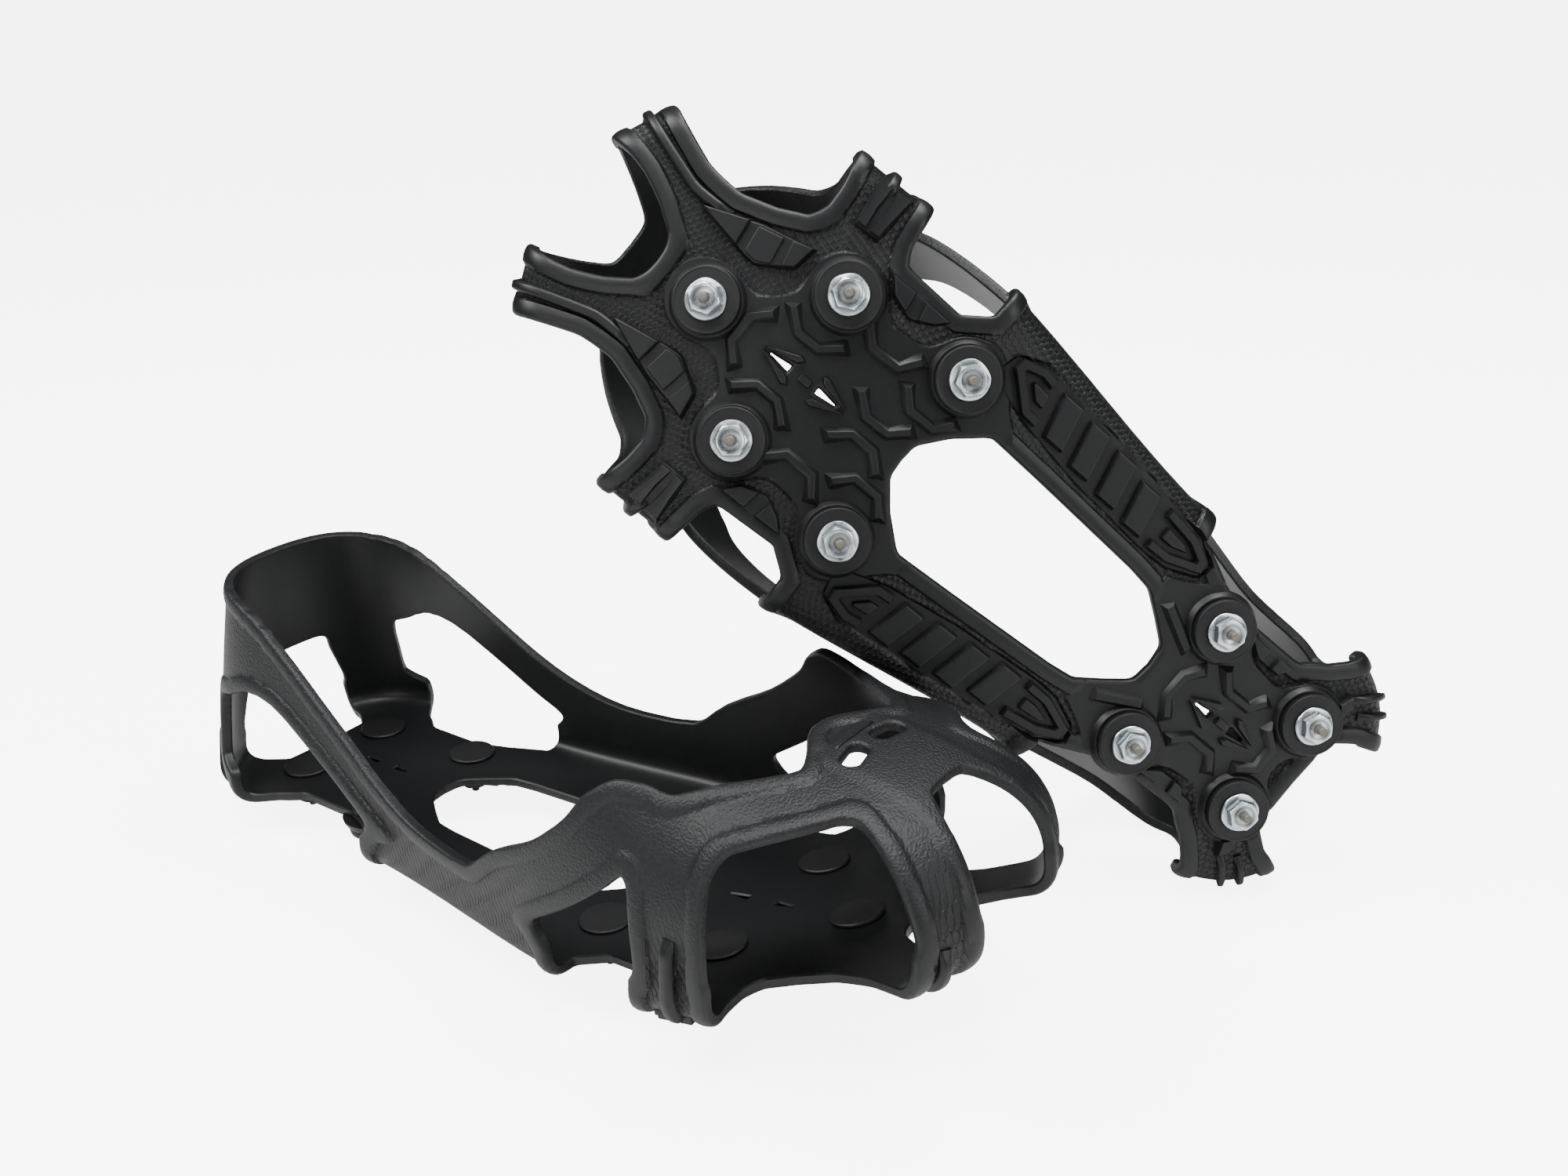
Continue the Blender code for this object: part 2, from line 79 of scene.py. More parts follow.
WEB = ((141, -20), (143, 10), (150, 16.5), (160, 21), (174, 23), (176, 40), (158, 34), (148, 31),
       (135, 32), (124, 35.5), (116, 39.5), (111, 45), (110.5, 52), (113, 66), (90, 66), (88, 51),
       (84, 46.5), (62, 45.5), (53, 52), (50, 66), (20, 68), (-20, 64), (-42, 56), (-47, 42),
       (-62, 35.5), (-74, 31.5), (-100, 31.5), (-110, 35), (-117, 43), (-120, 56), (-150, 54),
       (-152, 28), (-134, 24), (-126, 18), (-125, -20))
WINDOW = ((-61, -20), (-58, 7), (-50, 13), (-42, 18.5), (-33, 19.7), (8, 22), (30, 23), (40, 14.5),
          (47, 6), (49, -20))
WINDOW_ROUND = 5.0
STRAPS = (
    ((140, 18, 20, 9), (154, 25, 24, 8), (168, 31, 30, 8.5), (171, 30, 42, 9.5),
     (165, 28, 56, 10), (156, 24, 65, 10.5), (144, 18, 72, 12), (132, 12, 74, 14)),
    ((132, 10, 74, 14), (130, 25, 68, 11), (120, 35, 65, 10.5), (108, 42, 62, 10.5),
     (94, 48, 57, 11), (79, 51, 59, 12.5), (70, 54, 50, 11.5), (54, 58, 38, 11),
     (36, 58, 27, 12), (24, 56, 15, 13)),
    ((137, 0, 72.5, 14.5), (123, 0, 74.5, 14.5)),
    ((100, 46, 4, 12.5), (101, 61, 10, 12.5), (102, 62, 24, 12.5), (100, 58, 42, 13),
     (98, 52, 54, 13)),
    ((38, 60, 8, 13), (10, 56, 8, 14), (-18, 52, 10, 12), (-34, 50, 10, 9)),
    ((10, 56, 14, 11), (-15, 53, 18, 9), (-40, 50, 27, 8.5), (-64, 46, 41, 8.5),
     (-89, 41, 55, 10), (-110, 37, 61, 15), (-128, 28, 59, 21), (-138, 0, 60, 22)),
    ((-112, 27, 4, 10), (-128, 38, 5, 11.5), (-137, 38, 14, 11.5), (-137, 32, 34, 13)),
)
# smooth raised plates between the studs, on the left half
FORE_PLATE = ((123.5, -5), (123.5, 0), (92, 28.1), (48.3, 31.6), (46.5, 42.5), (26.5, 28.5),
              (24, 20), (24, -5))
REAR_PLATE = ((-52, -5), (-44, 25), (-64, 34), (-69.2, 23.6), (-114.1, 18.5), (-117, -5))
PLATE_ROUND = 12.4          # the plate's rounding about each stud
LADDER = ((43, 38), (40.5, 48), (31, 52), (10, 50), (-20, 46.5), (-45, 42.5), (-54, 37),
          (-53, 31), (-42, 26.5), (-33, 26), (0, 28.5), (26, 32.5))
# through holes on the middle line, and the slots of the toe tab
HOLES = (((74, 0.1), (81.2, 1.1), (81.2, -3), (74, -3)),
         ((99, 0.1), (91.6, 1.1), (91.6, -3), (99, -3)),
         ((-101, 0.1), (-95.2, 1.0), (-95.2, -3), (-101, -3)),
         ((-80, 0.1), (-86.4, 1.0), (-86.4, -3), (-80, -3)))
TAB_SLOT, SLOT_HALF = np.array(((126.7, 5.7), (127.9, 11.7))), 2.8
TAB_SLOT_Z = 55.0           # the slots are cut above this height only
WEB_ZONE = 6.0              # a point lower than this over the web's inner face is on the web
FAR = 40.0                  # distance given to points that a field leaves out
RIM_DOME, RIM_STEP, PLATE_STEP = 0.45, 0.7, 0.9
LIP_FOOT = 0.5              # bevel where the rounded edge meets the inner face
SNAP = 0.22                 # share of an edge over which a corner slides onto a cut


# ------------------------------------------------------------------ plain numpy shapes

def smoothstep(t):
    t = np.clip(t, 0.0, 1.0)
    return t * t * (3.0 - 2.0 * t)


def ramp(value, low, high):
    """0 below low, 1 above high, straight between."""
    return np.clip((value - low) / (high - low), 0.0, 1.0)


def unit(vectors):
    return vectors / (np.linalg.norm(vectors, axis=-1, keepdims=True) + 1e-12)


def along_edge(p, start, edge):
    """Share of an edge, 0 to 1, at which the point of it nearest to p lies."""
    return np.clip(((p - start) * edge).sum(-1) / (edge ** 2).sum(-1), 0.0, 1.0)


def soft_min(a, b, k):
    """Smaller of two values, rounded over a width k."""
    return 0.5 * (a + b - np.sqrt((a - b) ** 2 + k * k))


def blend_min(a, b, k):
    """Union of two distance fields with a fillet of size k."""
    h = np.clip(0.5 + 0.5 * (b - a) / k, 0.0, 1.0)
    return b + (a - b) * h - k * h * (1.0 - h)


def toe_spring(x):
    """Height of the web's outer face: rate times the square of the distance past the start."""
    return SPRING_RATE * np.maximum(0.0, x - SPRING_START) ** 2


def sole_outline(count):
    """Half outline from toe tip to heel tip in equal steps: a superellipse quarter at each end,
    joined by a side whose half width goes from heel to ball by a smooth step."""
    angle = np.linspace(0.0, math.pi / 2, 240)
    side = np.linspace(TOE_CENTRE, HEEL_CENTRE, 240)
    width = HEEL_HALF + (FORE_HALF - HEEL_HALF) * smoothstep(
        (side - WAIST_BACK) / (WAIST_FRONT - WAIST_BACK))
    x = np.concatenate([TOE_CENTRE + TOE_REACH * np.cos(angle) ** (2 / TOE_POWER), side,
                        HEEL_CENTRE - HEEL_REACH * np.sin(angle) ** (2 / HEEL_POWER)])
    y = np.concatenate([FORE_HALF * np.sin(angle) ** (2 / TOE_POWER), width,
                        HEEL_HALF * np.cos(angle) ** (2 / HEEL_POWER)])
    run = np.concatenate([[0.0], np.cumsum(np.hypot(np.diff(x), np.diff(y)))])
    at = np.linspace(0.0, run[-1], count)
    x, y = np.interp(at, run, x), np.interp(at, run, y)
    y[[0, -1]] = 0.0
    return x, y


def skin_table(ribs=240, steps=160):
    """Skin of the boot as ribs by steps. A rib runs from the sole's middle line straight out to
    the outline, round the sole's edge (a quadratic curve), and up over the dome, a superellipse
    quarter of power 3 towards the crest line, narrowed with height at the heel. It ends at the
    top height, with the ends' lengths averaged over 25 ribs."""
    ox, oy = (v[:, None] for v in sole_outline(ribs + 1))
    sole_x = soft_min(ox, STUDS["toe"][0], 8.0)
    sole_x = -soft_min(-sole_x, -HEEL_CENTRE, 8.0)
    crest_x = -soft_min(-soft_min(ox, CREST_X, 10.0), -HEEL_CENTRE, 8.0)
    crest_z = CREST_Z + INSTEP_RISE * (CREST_X - crest_x)
    t = np.linspace(0.0, 1.0, 121)[None, :]
    a = 0.5 * math.pi * t ** 1.5 / (t ** 1.5 + (1.0 - t) ** 1.5)
    reach = np.cos(a) ** (2 / DOME_POWER)
    rise = np.sin(a) ** (2 / DOME_POWER)
    edge_z = THICK + toe_spring(ox)
    wall_z = edge_z + (crest_z - edge_z) * rise
    heelward = smoothstep((30.0 - ox) / 90.0)
    backward = np.clip((HEEL_CENTRE - ox) / HEEL_REACH, 0.0, 1.0) ** 2
    taper = heelward * (TAPER_SIDE + (TAPER_BACK - TAPER_SIDE) * backward)
    reach = reach * (1.0 - taper * np.clip(wall_z / TAPER_Z, 0.0, 2.0) ** 1.3)
    wall = np.stack([crest_x + (ox - crest_x) * reach, oy * reach, wall_z], -1)
    s = np.linspace(0.0, 1.0, 60)[None, :-1]
    floor_x = sole_x + (ox - sole_x) * s
    floor = np.stack([floor_x, oy * s, THICK + toe_spring(floor_x)], -1)
    path = np.concatenate([floor, wall], 1)
    run = np.concatenate([np.zeros((ribs + 1, 1)),
                          np.cumsum(np.linalg.norm(np.diff(path, axis=1), axis=2), 1)], 1)
    corner = run[:, floor.shape[1]][:, None]
    end = np.where(path[..., 2] <= TOP_Z, run, 0.0).max(1)
    end = np.convolve(np.pad(end, 12, mode="edge"), np.full(25, 1 / 25), "valid")[:, None]
    at = end * np.linspace(0.0, 1.0, steps + 1)[None, :]

    def along(where):
        return np.stack([[np.interp(w, r, p[:, k]) for w, r, p in zip(where, run, path)]
                         for k in range(3)], -1)

    table = along(at)
    before, after = along(corner - EDGE_ROUND), along(corner + EDGE_ROUND)
    middle = along(corner)
    f = np.clip((at - corner + EDGE_ROUND) / (2 * EDGE_ROUND), 0.0, 1.0)[..., None]
    curve = (1 - f) ** 2 * before + 2 * f * (1 - f) * middle + f ** 2 * after
    near = np.abs(at - corner)[..., None] < EDGE_ROUND
    table = np.where(near, curve, table)
    table[[0, -1], :, 1] = 0.0
    return table


SKIN = skin_table()


def skin_normals():
    """Unit normals of the skin table: rib direction crossed with step direction, the sign set so
    that a point of the sole looks down."""
    along, across = np.gradient(SKIN, axis=0), np.gradient(SKIN, axis=1)
    normal = np.cross(along, across)
    normal[:, 0] = normal[:, 1]
    normal = unit(normal)
    return normal if normal[120, 20, 2] < 0 else -normal


SKIN_NORMALS = skin_normals()


def on_skin(u, v):
    """Point of the skin at fractions u (toe to heel) and v (middle line to top), in mm."""
    ribs, steps = SKIN.shape[0] - 1, SKIN.shape[1] - 1
    fu, fv = np.clip(u, 0, 1) * ribs, np.clip(v, 0, 1) * steps
    iu, iv = np.minimum(fu.astype(int), ribs - 1), np.minimum(fv.astype(int), steps - 1)
    du, dv = (fu - iu)[..., None], (fv - iv)[..., None]
    near = SKIN[iu, iv] * (1 - dv) + SKIN[iu, iv + 1] * dv
    far = SKIN[iu + 1, iv] * (1 - dv) + SKIN[iu + 1, iv + 1] * dv
    return near * (1 - du) + far * du


def drape(points):
    """Points moved onto the harness's outer face, and the face's normals there. Each goes to the
    tangent plane of the nearest point of the skin table, then out by the wall's thickness."""
    points = np.asarray(points, float)
    back = np.where(points[:, 1:2] < 0, [1, -1, 1], [1, 1, 1])
    half = points * back
    flat, normals = SKIN.reshape(-1, 3), SKIN_NORMALS.reshape(-1, 3)
    near = np.concatenate([np.linalg.norm(flat[None] - block[:, None], axis=-1).argmin(1)
                           for block in np.array_split(half, max(1, len(half) // 40))])
    seat, normal = flat[near], normals[near]
    laid = half - normal * ((half - seat) * normal).sum(-1, keepdims=True) + normal * THICK
    return laid * back, normal * back


def under_web(points):
    """Plan points (x, y) set on the web's outer face, z = toe spring, and the normals there."""
    points = np.asarray(points, float)
    x = points[:, 0]
    slope = 2 * SPRING_RATE * np.maximum(0.0, x - SPRING_START)
    normal = np.stack([slope, np.zeros_like(x), -np.ones_like(x)], -1)
    return np.stack([x, points[:, 1], toe_spring(x)], -1), unit(normal)


def polygon_distance(x, y, corners):
    """Signed distance to a polygon, negative inside."""
    pts = np.array(corners, float)
    p = np.stack([x, y], -1)[..., None, :]
    a, b = pts, np.roll(pts, -1, 0)
    edge = b - a
    t = along_edge(p, a, edge)
    gap = np.linalg.norm(p - (a + t[..., None] * edge), axis=-1).min(-1)
    up = (a[:, 1] <= p[..., 1]) != (b[:, 1] <= p[..., 1])
    rise = np.where(edge[:, 1] == 0, 1e-9, edge[:, 1])
    cross = a[:, 0] + (p[..., 1] - a[:, 1]) * edge[:, 0] / rise > p[..., 0]
    inside = (up & cross).sum(-1) % 2 == 1
    return np.where(inside, -gap, gap)


def smooth_rows(rows, steps=3):
    """Rows joined by a Catmull-Rom curve: each span is cut into equal steps of its parameter."""
    rows = np.asarray(rows, float)
    ends = np.concatenate([[2 * rows[0] - rows[1]], rows, [2 * rows[-1] - rows[-2]]])
    a, b, c, d = (ends[k:len(rows) - 1 + k, None] for k in range(4))
    t = (np.arange(steps) / steps)[None, :, None]
    curve = 0.5 * (2 * b + (c - a) * t + (2 * a - 5 * b + 4 * c - d) * t ** 2
                   + (3 * b - a - 3 * c + d) * t ** 3)
    return np.concatenate([curve.reshape(-1, rows.shape[1]), rows[-1:]])


def strap_distance(p, rows):
    """Distance to a strap: its middle line is laid on the skin, its half width is taken off."""
    rows = smooth_rows(rows)
    flat, normals = SKIN.reshape(-1, 3), SKIN_NORMALS.reshape(-1, 3)
    near = [np.linalg.norm(flat - r, axis=1).argmin() for r in rows[:, :3]]
    lift = ((rows[:, :3] - flat[near]) * normals[near]).sum(1, keepdims=True)
    line = rows[:, :3] - lift * normals[near]
    best = np.full(p.shape[:-1], 1e3)
    for a, b, wa, wb in zip(line[:-1], line[1:], rows[:-1, 3], rows[1:, 3]):
        edge = b - a
        t = along_edge(p, a, edge)
        reach = np.linalg.norm(p - a - t[..., None] * edge, axis=-1) - (wa + (wb - wa) * t)
        best = np.minimum(best, reach)
    return best


def above_web(p):
    return p[..., 2] - toe_spring(p[..., 0]) - THICK


def web_only(p, field, elsewhere=FAR):
    return np.where(above_web(p) < WEB_ZONE, field, elsewhere)


def harness_distance(p):
    """Negative where the harness is: web and straps run together, less the waist window."""
    x, y = p[..., 0], p[..., 1]
    field = np.maximum(polygon_distance(x, y, WEB), above_web(p) - 1.5 * WEB_ZONE)
    for rows in STRAPS:
        field = blend_min(field, strap_distance(p, rows), FILLET)
    window = polygon_distance(x, y, inset(WINDOW, WINDOW_ROUND)) - WINDOW_ROUND
    return web_only(p, np.maximum(field, -window), field)


def cut_distance(p):
    """The harness field with the small holes of the middle line and the toe tab taken out."""
    x, y = p[..., 0], p[..., 1]
    field = harness_distance(p)
    holes = np.full(x.shape, 1e3)
    for corners in HOLES:
        holes = np.minimum(holes, polygon_distance(x, y, corners))
    field = web_only(p, np.maximum(field, -holes), field)
    start, edge = TAB_SLOT[0], TAB_SLOT[1] - TAB_SLOT[0]
    t = along_edge(p[..., :2], start, edge)
    slot = np.linalg.norm(p[..., :2] - start - t[..., None] * edge, axis=-1) - SLOT_HALF
    return np.where(p[..., 2] > TAB_SLOT_Z, np.maximum(field, -slot), field)


def plate_distance(p):
    """Negative on the smooth plates: polygons through the stud centres joined by fillets to a
    round about each stud."""
    x, y = p[..., 0], p[..., 1]
    field = np.minimum(polygon_distance(x, y, FORE_PLATE), polygon_distance(x, y, REAR_PLATE))
    for name in ("toe", "ball_left", "mid_left", "waist_left", "heel_left"):
        sx, sy = STUDS[name]
        field = blend_min(field, np.hypot(x - sx, y - sy) - PLATE_ROUND, 7.0)
    return web_only(p, field)


def ladder_distance(p):
    """Negative in the long hollow beside the waist window."""
    return web_only(p, polygon_distance(p[..., 0], p[..., 1], LADDER))


# ------------------------------------------------------------------ triangle nets

def sides_of(faces):
    """The three directed sides of every triangle."""
    return np.concatenate([faces[:, [0, 1]], faces[:, [1, 2]], faces[:, [2, 0]]])


def split_at(grid, faces, value, level, locked):
    """Cuts every triangle that the line value = level crosses, so that the line runs along
    edges. Free corners close to the line are first slid onto it along an edge. Gives the corners,
    the triangles, which corners must stay, and each corner's side of the line: -1, 0 or 1."""
    value = value - level
    edges = np.unique(np.sort(sides_of(faces), 1), axis=0)
    for a, b in (edges.T, edges.T[::-1]):
        hit = value[a] * value[b] < 0
        share = np.where(hit, value[a] / np.where(hit, value[a] - value[b], 1.0), 1.0)
        near = hit & (share < SNAP) & ~locked[a]
        i, j, t = a[near], b[near], share[near]
        i, first = np.unique(i, return_index=True)
        grid[i] += t[first, None] * (grid[j[first]] - grid[i])
        value[i] = 0.0
    side = np.sign(np.where(np.abs(value) < 1e-7, 0.0, value)).astype(int)
    corner = side[faces]
    cut = (corner.min(1) < 0) & (corner.max(1) > 0)
    kept, torn, corner = faces[~cut], faces[cut], corner[cut]
    with_zero = (corner == 0).any(1)
    lone = np.where(with_zero, (corner == 0).argmax(1),
                    (corner == -np.sign(corner.sum(1))[:, None]).argmax(1))
    turn = (lone[:, None] + np.arange(3)) % 3
    torn = np.take_along_axis(torn, turn, 1)
    two, three = torn[with_zero], torn[~with_zero]
    wanted = np.sort(np.concatenate([two[:, [1, 2]], three[:, [0, 1]], three[:, [0, 2]]]), 1)
    pairs, back = np.unique(wanted, axis=0, return_inverse=True)
    back = back.reshape(-1) + len(grid)
    t = (value[pairs[:, 0]] / (value[pairs[:, 0]] - value[pairs[:, 1]]))[:, None]
    fresh = grid[pairs[:, 0]] * (1 - t) + grid[pairs[:, 1]] * t
    m = back[:len(two)]
    p, q = back[len(two):len(two) + len(three)], back[len(two) + len(three):]
    a, b, c = two.T
    d, e, f = three.T
    faces = np.concatenate([kept, np.stack([a, b, m], 1), np.stack([a, m, c], 1),
                            np.stack([d, p, q], 1), np.stack([p, e, f], 1),
                            np.stack([p, f, q], 1)])
    side = np.concatenate([side, np.zeros(len(fresh), int)])
    on_line = np.concatenate([locked | (side[:len(locked)] == 0), np.ones(len(fresh), bool)])
    return np.concatenate([grid, fresh]), faces, on_line, side


def merged(points, faces, step=0.01):
    """Joins corners that fall on the same place and drops triangles that vanish. Gives the
    number of one corner for each place, and the triangles."""
    keys = np.round(points / step).astype(np.int64)
    _, first, back = np.unique(keys, axis=0, return_index=True, return_inverse=True)
    faces = back.reshape(-1)[faces]
    return first, faces[(faces != np.roll(faces, -1, 1)).all(1)]


def net_normals(points, faces):
    """Corner normals: sums of the triangles' cross products, made unit."""
    a, b, c = (points[faces[:, k]] for k in range(3))
    cross = np.cross(b - a, c - a)
    total = np.zeros_like(points)
    for k in range(3):
        np.add.at(total, faces[:, k], cross)
    return unit(total)


def open_edges(faces):
    """Directed edges that belong to one triangle only."""
    directed = sides_of(faces)
    _, back, count = np.unique(np.sort(directed, 1), axis=0, return_inverse=True,
                               return_counts=True)
    return directed[count[back.reshape(-1)] == 1]


class Body:
    """Points, faces and zone values gathered for one piece, in the cleat frame in mm. The zones
    are the shares of fish scales and of pebble grain; on a stud the first is painted shade on the
    zinc."""

    def __init__(self):
        self.points, self.faces, self.zones, self.count = [], [], [], 0

    def add(self, points, faces, scales=0.0, pebble=0.0):
        zones = np.zeros((len(points), 2))
        zones[:, 0], zones[:, 1] = scales, pebble
        self.faces += [[i + self.count for i in face] for face in faces]
        self.points.append(np.asarray(points, float))
        self.zones.append(zones)
        self.count += len(points)


# ------------------------------------------------------------------ harness sheet

def relief(p, d):
    """Height of the outer face over the plain wall: a domed rim along every edge, smooth plates
    round the studs and on the toe tab, and a recess everywhere else, deepest in the ladder. With
    it go the shares of fish scales, on the web, and of pebble grain, up the straps."""
    low = 1.0 - ramp(above_web(p), 12.0, 34.0)
    front = ramp(p[..., 0], 117.0, 119.0)
    tab = np.where(p[..., 2] > 64.0, np.maximum(ramp(np.abs(p[..., 1]), 15.0, 19.0),
                                                1.0 - front), 1.0)
    rim = np.clip(-d / RIM, 0.0, 1.0)
    dome = RIM_DOME * np.sin(math.pi * rim) * tab
    band = ramp(-d, RIM, RIM + RIM_STEP)
    off_plate = ramp(plate_distance(p), 0.0, PLATE_STEP)
    recess = band * off_plate
    ladder = ramp(-ladder_distance(p), 0.0, PLATE_STEP)
    depth = RECESS * (0.55 + 0.45 * low) * recess * tab
    depth = np.maximum(depth, LADDER_RECESS * ladder)
    return dome * off_plate - depth, recess * (1 - ladder) * low, 1.0 - low


def harness_sheet(body):
    """The whole sheet: the skin grid is cut along the harness's edge and along each step, mirrored
    in y, pushed out by the relief, backed by an inner face, and closed by a rounded edge whose
    section is a quarter circle above a straight wall."""
    ribs, steps = np.meshgrid(np.arange(GRID_RIBS + 1.0), np.arange(GRID_STEPS + 1.0),
                              indexing="ij")
    grid = np.stack([ribs.ravel(), steps.ravel()], 1)
    index = np.arange(len(grid)).reshape(GRID_RIBS + 1, -1)
    a, b, c, d = index[:-1, :-1], index[1:, :-1], index[1:, 1:], index[:-1, 1:]
    swap = (np.add.outer(np.arange(GRID_RIBS), np.arange(GRID_STEPS)) % 2).astype(bool)
    faces = np.concatenate([
        np.stack([a, b, c], -1)[swap], np.stack([a, c, d], -1)[swap],
        np.stack([a, b, d], -1)[~swap], np.stack([b, c, d], -1)[~swap]])
    locked = (grid[:, 0] == 0) | (grid[:, 0] == GRID_RIBS) | (grid[:, 1] == 0)

    def skin():
        return on_skin(grid[:, 0] / GRID_RIBS, grid[:, 1] / GRID_STEPS)

    edge = cut_distance(skin())
    grid, faces, locked, side = split_at(grid, faces, edge, -LIP, locked)
    faces = faces[side[faces].max(1) <= 0]
    used, back = np.unique(faces, return_inverse=True)
    grid, locked, faces = grid[used], locked[used], back.reshape(faces.shape)
    for field, level in ((harness_distance, -RIM), (harness_distance, -RIM - RIM_STEP),
                         (plate_distance, 0.0), (plate_distance, PLATE_STEP),
                         (ladder_distance, 0.0), (ladder_distance, -PLATE_STEP)):
        grid, faces, locked, _ = split_at(grid, faces, field(skin()), level, locked)
    p = skin()
    rise, scales, pebble = relief(p, harness_distance(p))
    # mirror in y
    p = np.concatenate([p, p * [1, -1, 1]])
    faces = np.concatenate([faces, faces[:, ::-1] + len(p) // 2])
    rise, scales, pebble = (np.tile(v, 2) for v in (rise, scales, pebble))
    first, faces = merged(p, faces)
    p, rise, scales, pebble = p[first], rise[first], scales[first], pebble[first]
    normal = net_normals(p, faces)
    if normal[p[:, 2] < THICK + 0.1, 2].mean() > 0:
        faces, normal = faces[:, ::-1], -normal
    outer = p + normal * (THICK + rise)[:, None]
    # way: the direction out of the sheet along its edge, smoothed along the edge
    rim = open_edges(faces)
    way = np.zeros_like(p)
    a, b = rim.T
    out = unit(np.cross(p[b] - p[a], normal[a] + normal[b]))
    np.add.at(way, a, out)
    np.add.at(way, b, out)
    for _ in range(3):
        way = unit(way)
        spread = way.copy()
        np.add.at(spread, a, 0.5 * way[b])
        np.add.at(spread, b, 0.5 * way[a])
        way = spread
    way = unit(way - normal * (way * normal).sum(1, keepdims=True))
    edge_ids = np.unique(rim)
    place = np.full(len(p), -1)
    place[edge_ids] = np.arange(len(edge_ids))
    e, w, n = p[edge_ids], way[edge_ids], normal[edge_ids]
    top = (THICK + rise[edge_ids])[:, None]
    rings = [e + w * LIP * math.sin(g) + n * (top - LIP * (1 - math.cos(g)))
             for g in np.radians([30, 60, 90])]
    rings += [e + w * LIP + n * LIP_FOOT, e + w * (LIP - LIP_FOOT)]
    points = np.concatenate([outer, p] + rings)
    inner = faces[:, ::-1] + len(p)
    strips = []
    chain = [edge_ids] + [2 * len(p) + k * len(edge_ids) + np.arange(len(edge_ids))
                          for k in range(len(rings))] + [edge_ids + len(p)]
    ra, rb = place[a], place[b]
    for near, far in zip(chain[:-1], chain[1:]):
        strips.append(np.stack([near[rb], near[ra], far[ra], far[rb]], 1))
    ring_pebble = np.tile(pebble[edge_ids], len(rings))
    every = faces.tolist() + inner.tolist() + np.concatenate(strips).tolist()
    body.add(points, every, np.concatenate([scales, scales * 0, ring_pebble * 0]),
             np.concatenate([pebble, pebble * 0, ring_pebble]))


# ------------------------------------------------------------------ raised rubber details

def rounded(corners, radius=0.8, steps=4):
    """Closed outline with each corner replaced by a quadratic curve that starts and ends at the
    given distance from it, or at 0.4 of the side if that is shorter."""
    pts = np.asarray(corners, float)
    before, after = np.roll(pts, 1, 0) - pts, np.roll(pts, -1, 0) - pts
    lb = np.linalg.norm(before, axis=1, keepdims=True)
    la = np.linalg.norm(after, axis=1, keepdims=True)
    start = pts + before / lb * np.minimum(radius, 0.4 * lb)
    end = pts + after / la * np.minimum(radius, 0.4 * la)
    f = np.linspace(0.0, 1.0, steps)[None, :, None]
    curve = (1 - f) ** 2 * start[:, None] + 2 * f * (1 - f) * pts[:, None] + f ** 2 * end[:, None]
    return curve.reshape(-1, 2)


def area(outline):
    x, y = np.asarray(outline, float).T
    return 0.5 * (x * np.roll(y, -1) - np.roll(x, -1) * y).sum()


def inset(corners, distance):
    """Polygon with every side moved inwards by a distance; its corners are where the moved sides
    meet, held back at very sharp ones."""
    pts = np.asarray(corners, float)
    turn = math.copysign(1.0, area(pts))
    edge = unit(np.roll(pts, -1, 0) - pts)
    after = np.stack([-edge[:, 1], edge[:, 0]], 1) * turn
    before = np.roll(after, 1, 0)
    both = (after + before) / np.maximum(1.0 + (after * before).sum(1, keepdims=True), 0.3)
    return pts + both * distance


def outward(points, faces):
    """Turns the faces of a closed shape round if its signed volume is negative."""
    volume = 0.0
    for face in faces:
        a = points[face[0]]
        for i, j in zip(face[1:-1], face[2:]):
            volume += np.dot(a, np.cross(points[i], points[j]))
    return faces if volume > 0 else [list(reversed(face)) for face in faces]


def lofted(rings):
    """Closed shape from rings with equal numbers of points: its points, and its faces, which are
    quads from ring to ring and one flat face at each end."""
    rings = np.asarray(rings, float)
    index = np.arange(rings.shape[0] * rings.shape[1]).reshape(rings.shape[:2])
    nxt = np.roll(index, -1, 1)
    quads = np.stack([index[:-1], nxt[:-1], nxt[1:], index[1:]], -1).reshape(-1, 4).tolist()
    return rings.reshape(-1, 3), quads + [index[0, ::-1].tolist(), index[-1].tolist()]


def add_lofted(body, rings, both):
    """Adds the shape, and its mirror image in y if both sides have it."""
    points, faces = lofted(rings)
    for side in ((1, -1) if both else (1,)):
        mirrored = points * [1, side, 1]
        body.add(mirrored, outward(mirrored, faces))


def block(body, outline, high, slope, low=-1.6, soft=0.35, both=True, round_by=0.8):
    """Raised block on the web: its outline rises from low to high while it draws in by the slope,
    with a softened top edge. Heights are outwards from the web's outer face."""
    rings = ((0.0, low), (slope, high - soft), (slope + soft * 0.3, high - soft * 0.3),
             (slope + soft, high), (slope + soft + 0.15, high))
    for side in ((1, -1) if both else (1,)):
        flat = np.asarray(outline, float) * [1, side]
        if area(flat) > 0:
            flat = flat[::-1]
        levels = []
        for drawn, height in rings:
            ring = rounded(inset(flat, drawn), max(round_by - 0.5 * drawn, 0.2))
            seat, normal = under_web(ring)
            levels.append(seat + normal * height)
        body.add(*lofted(levels))


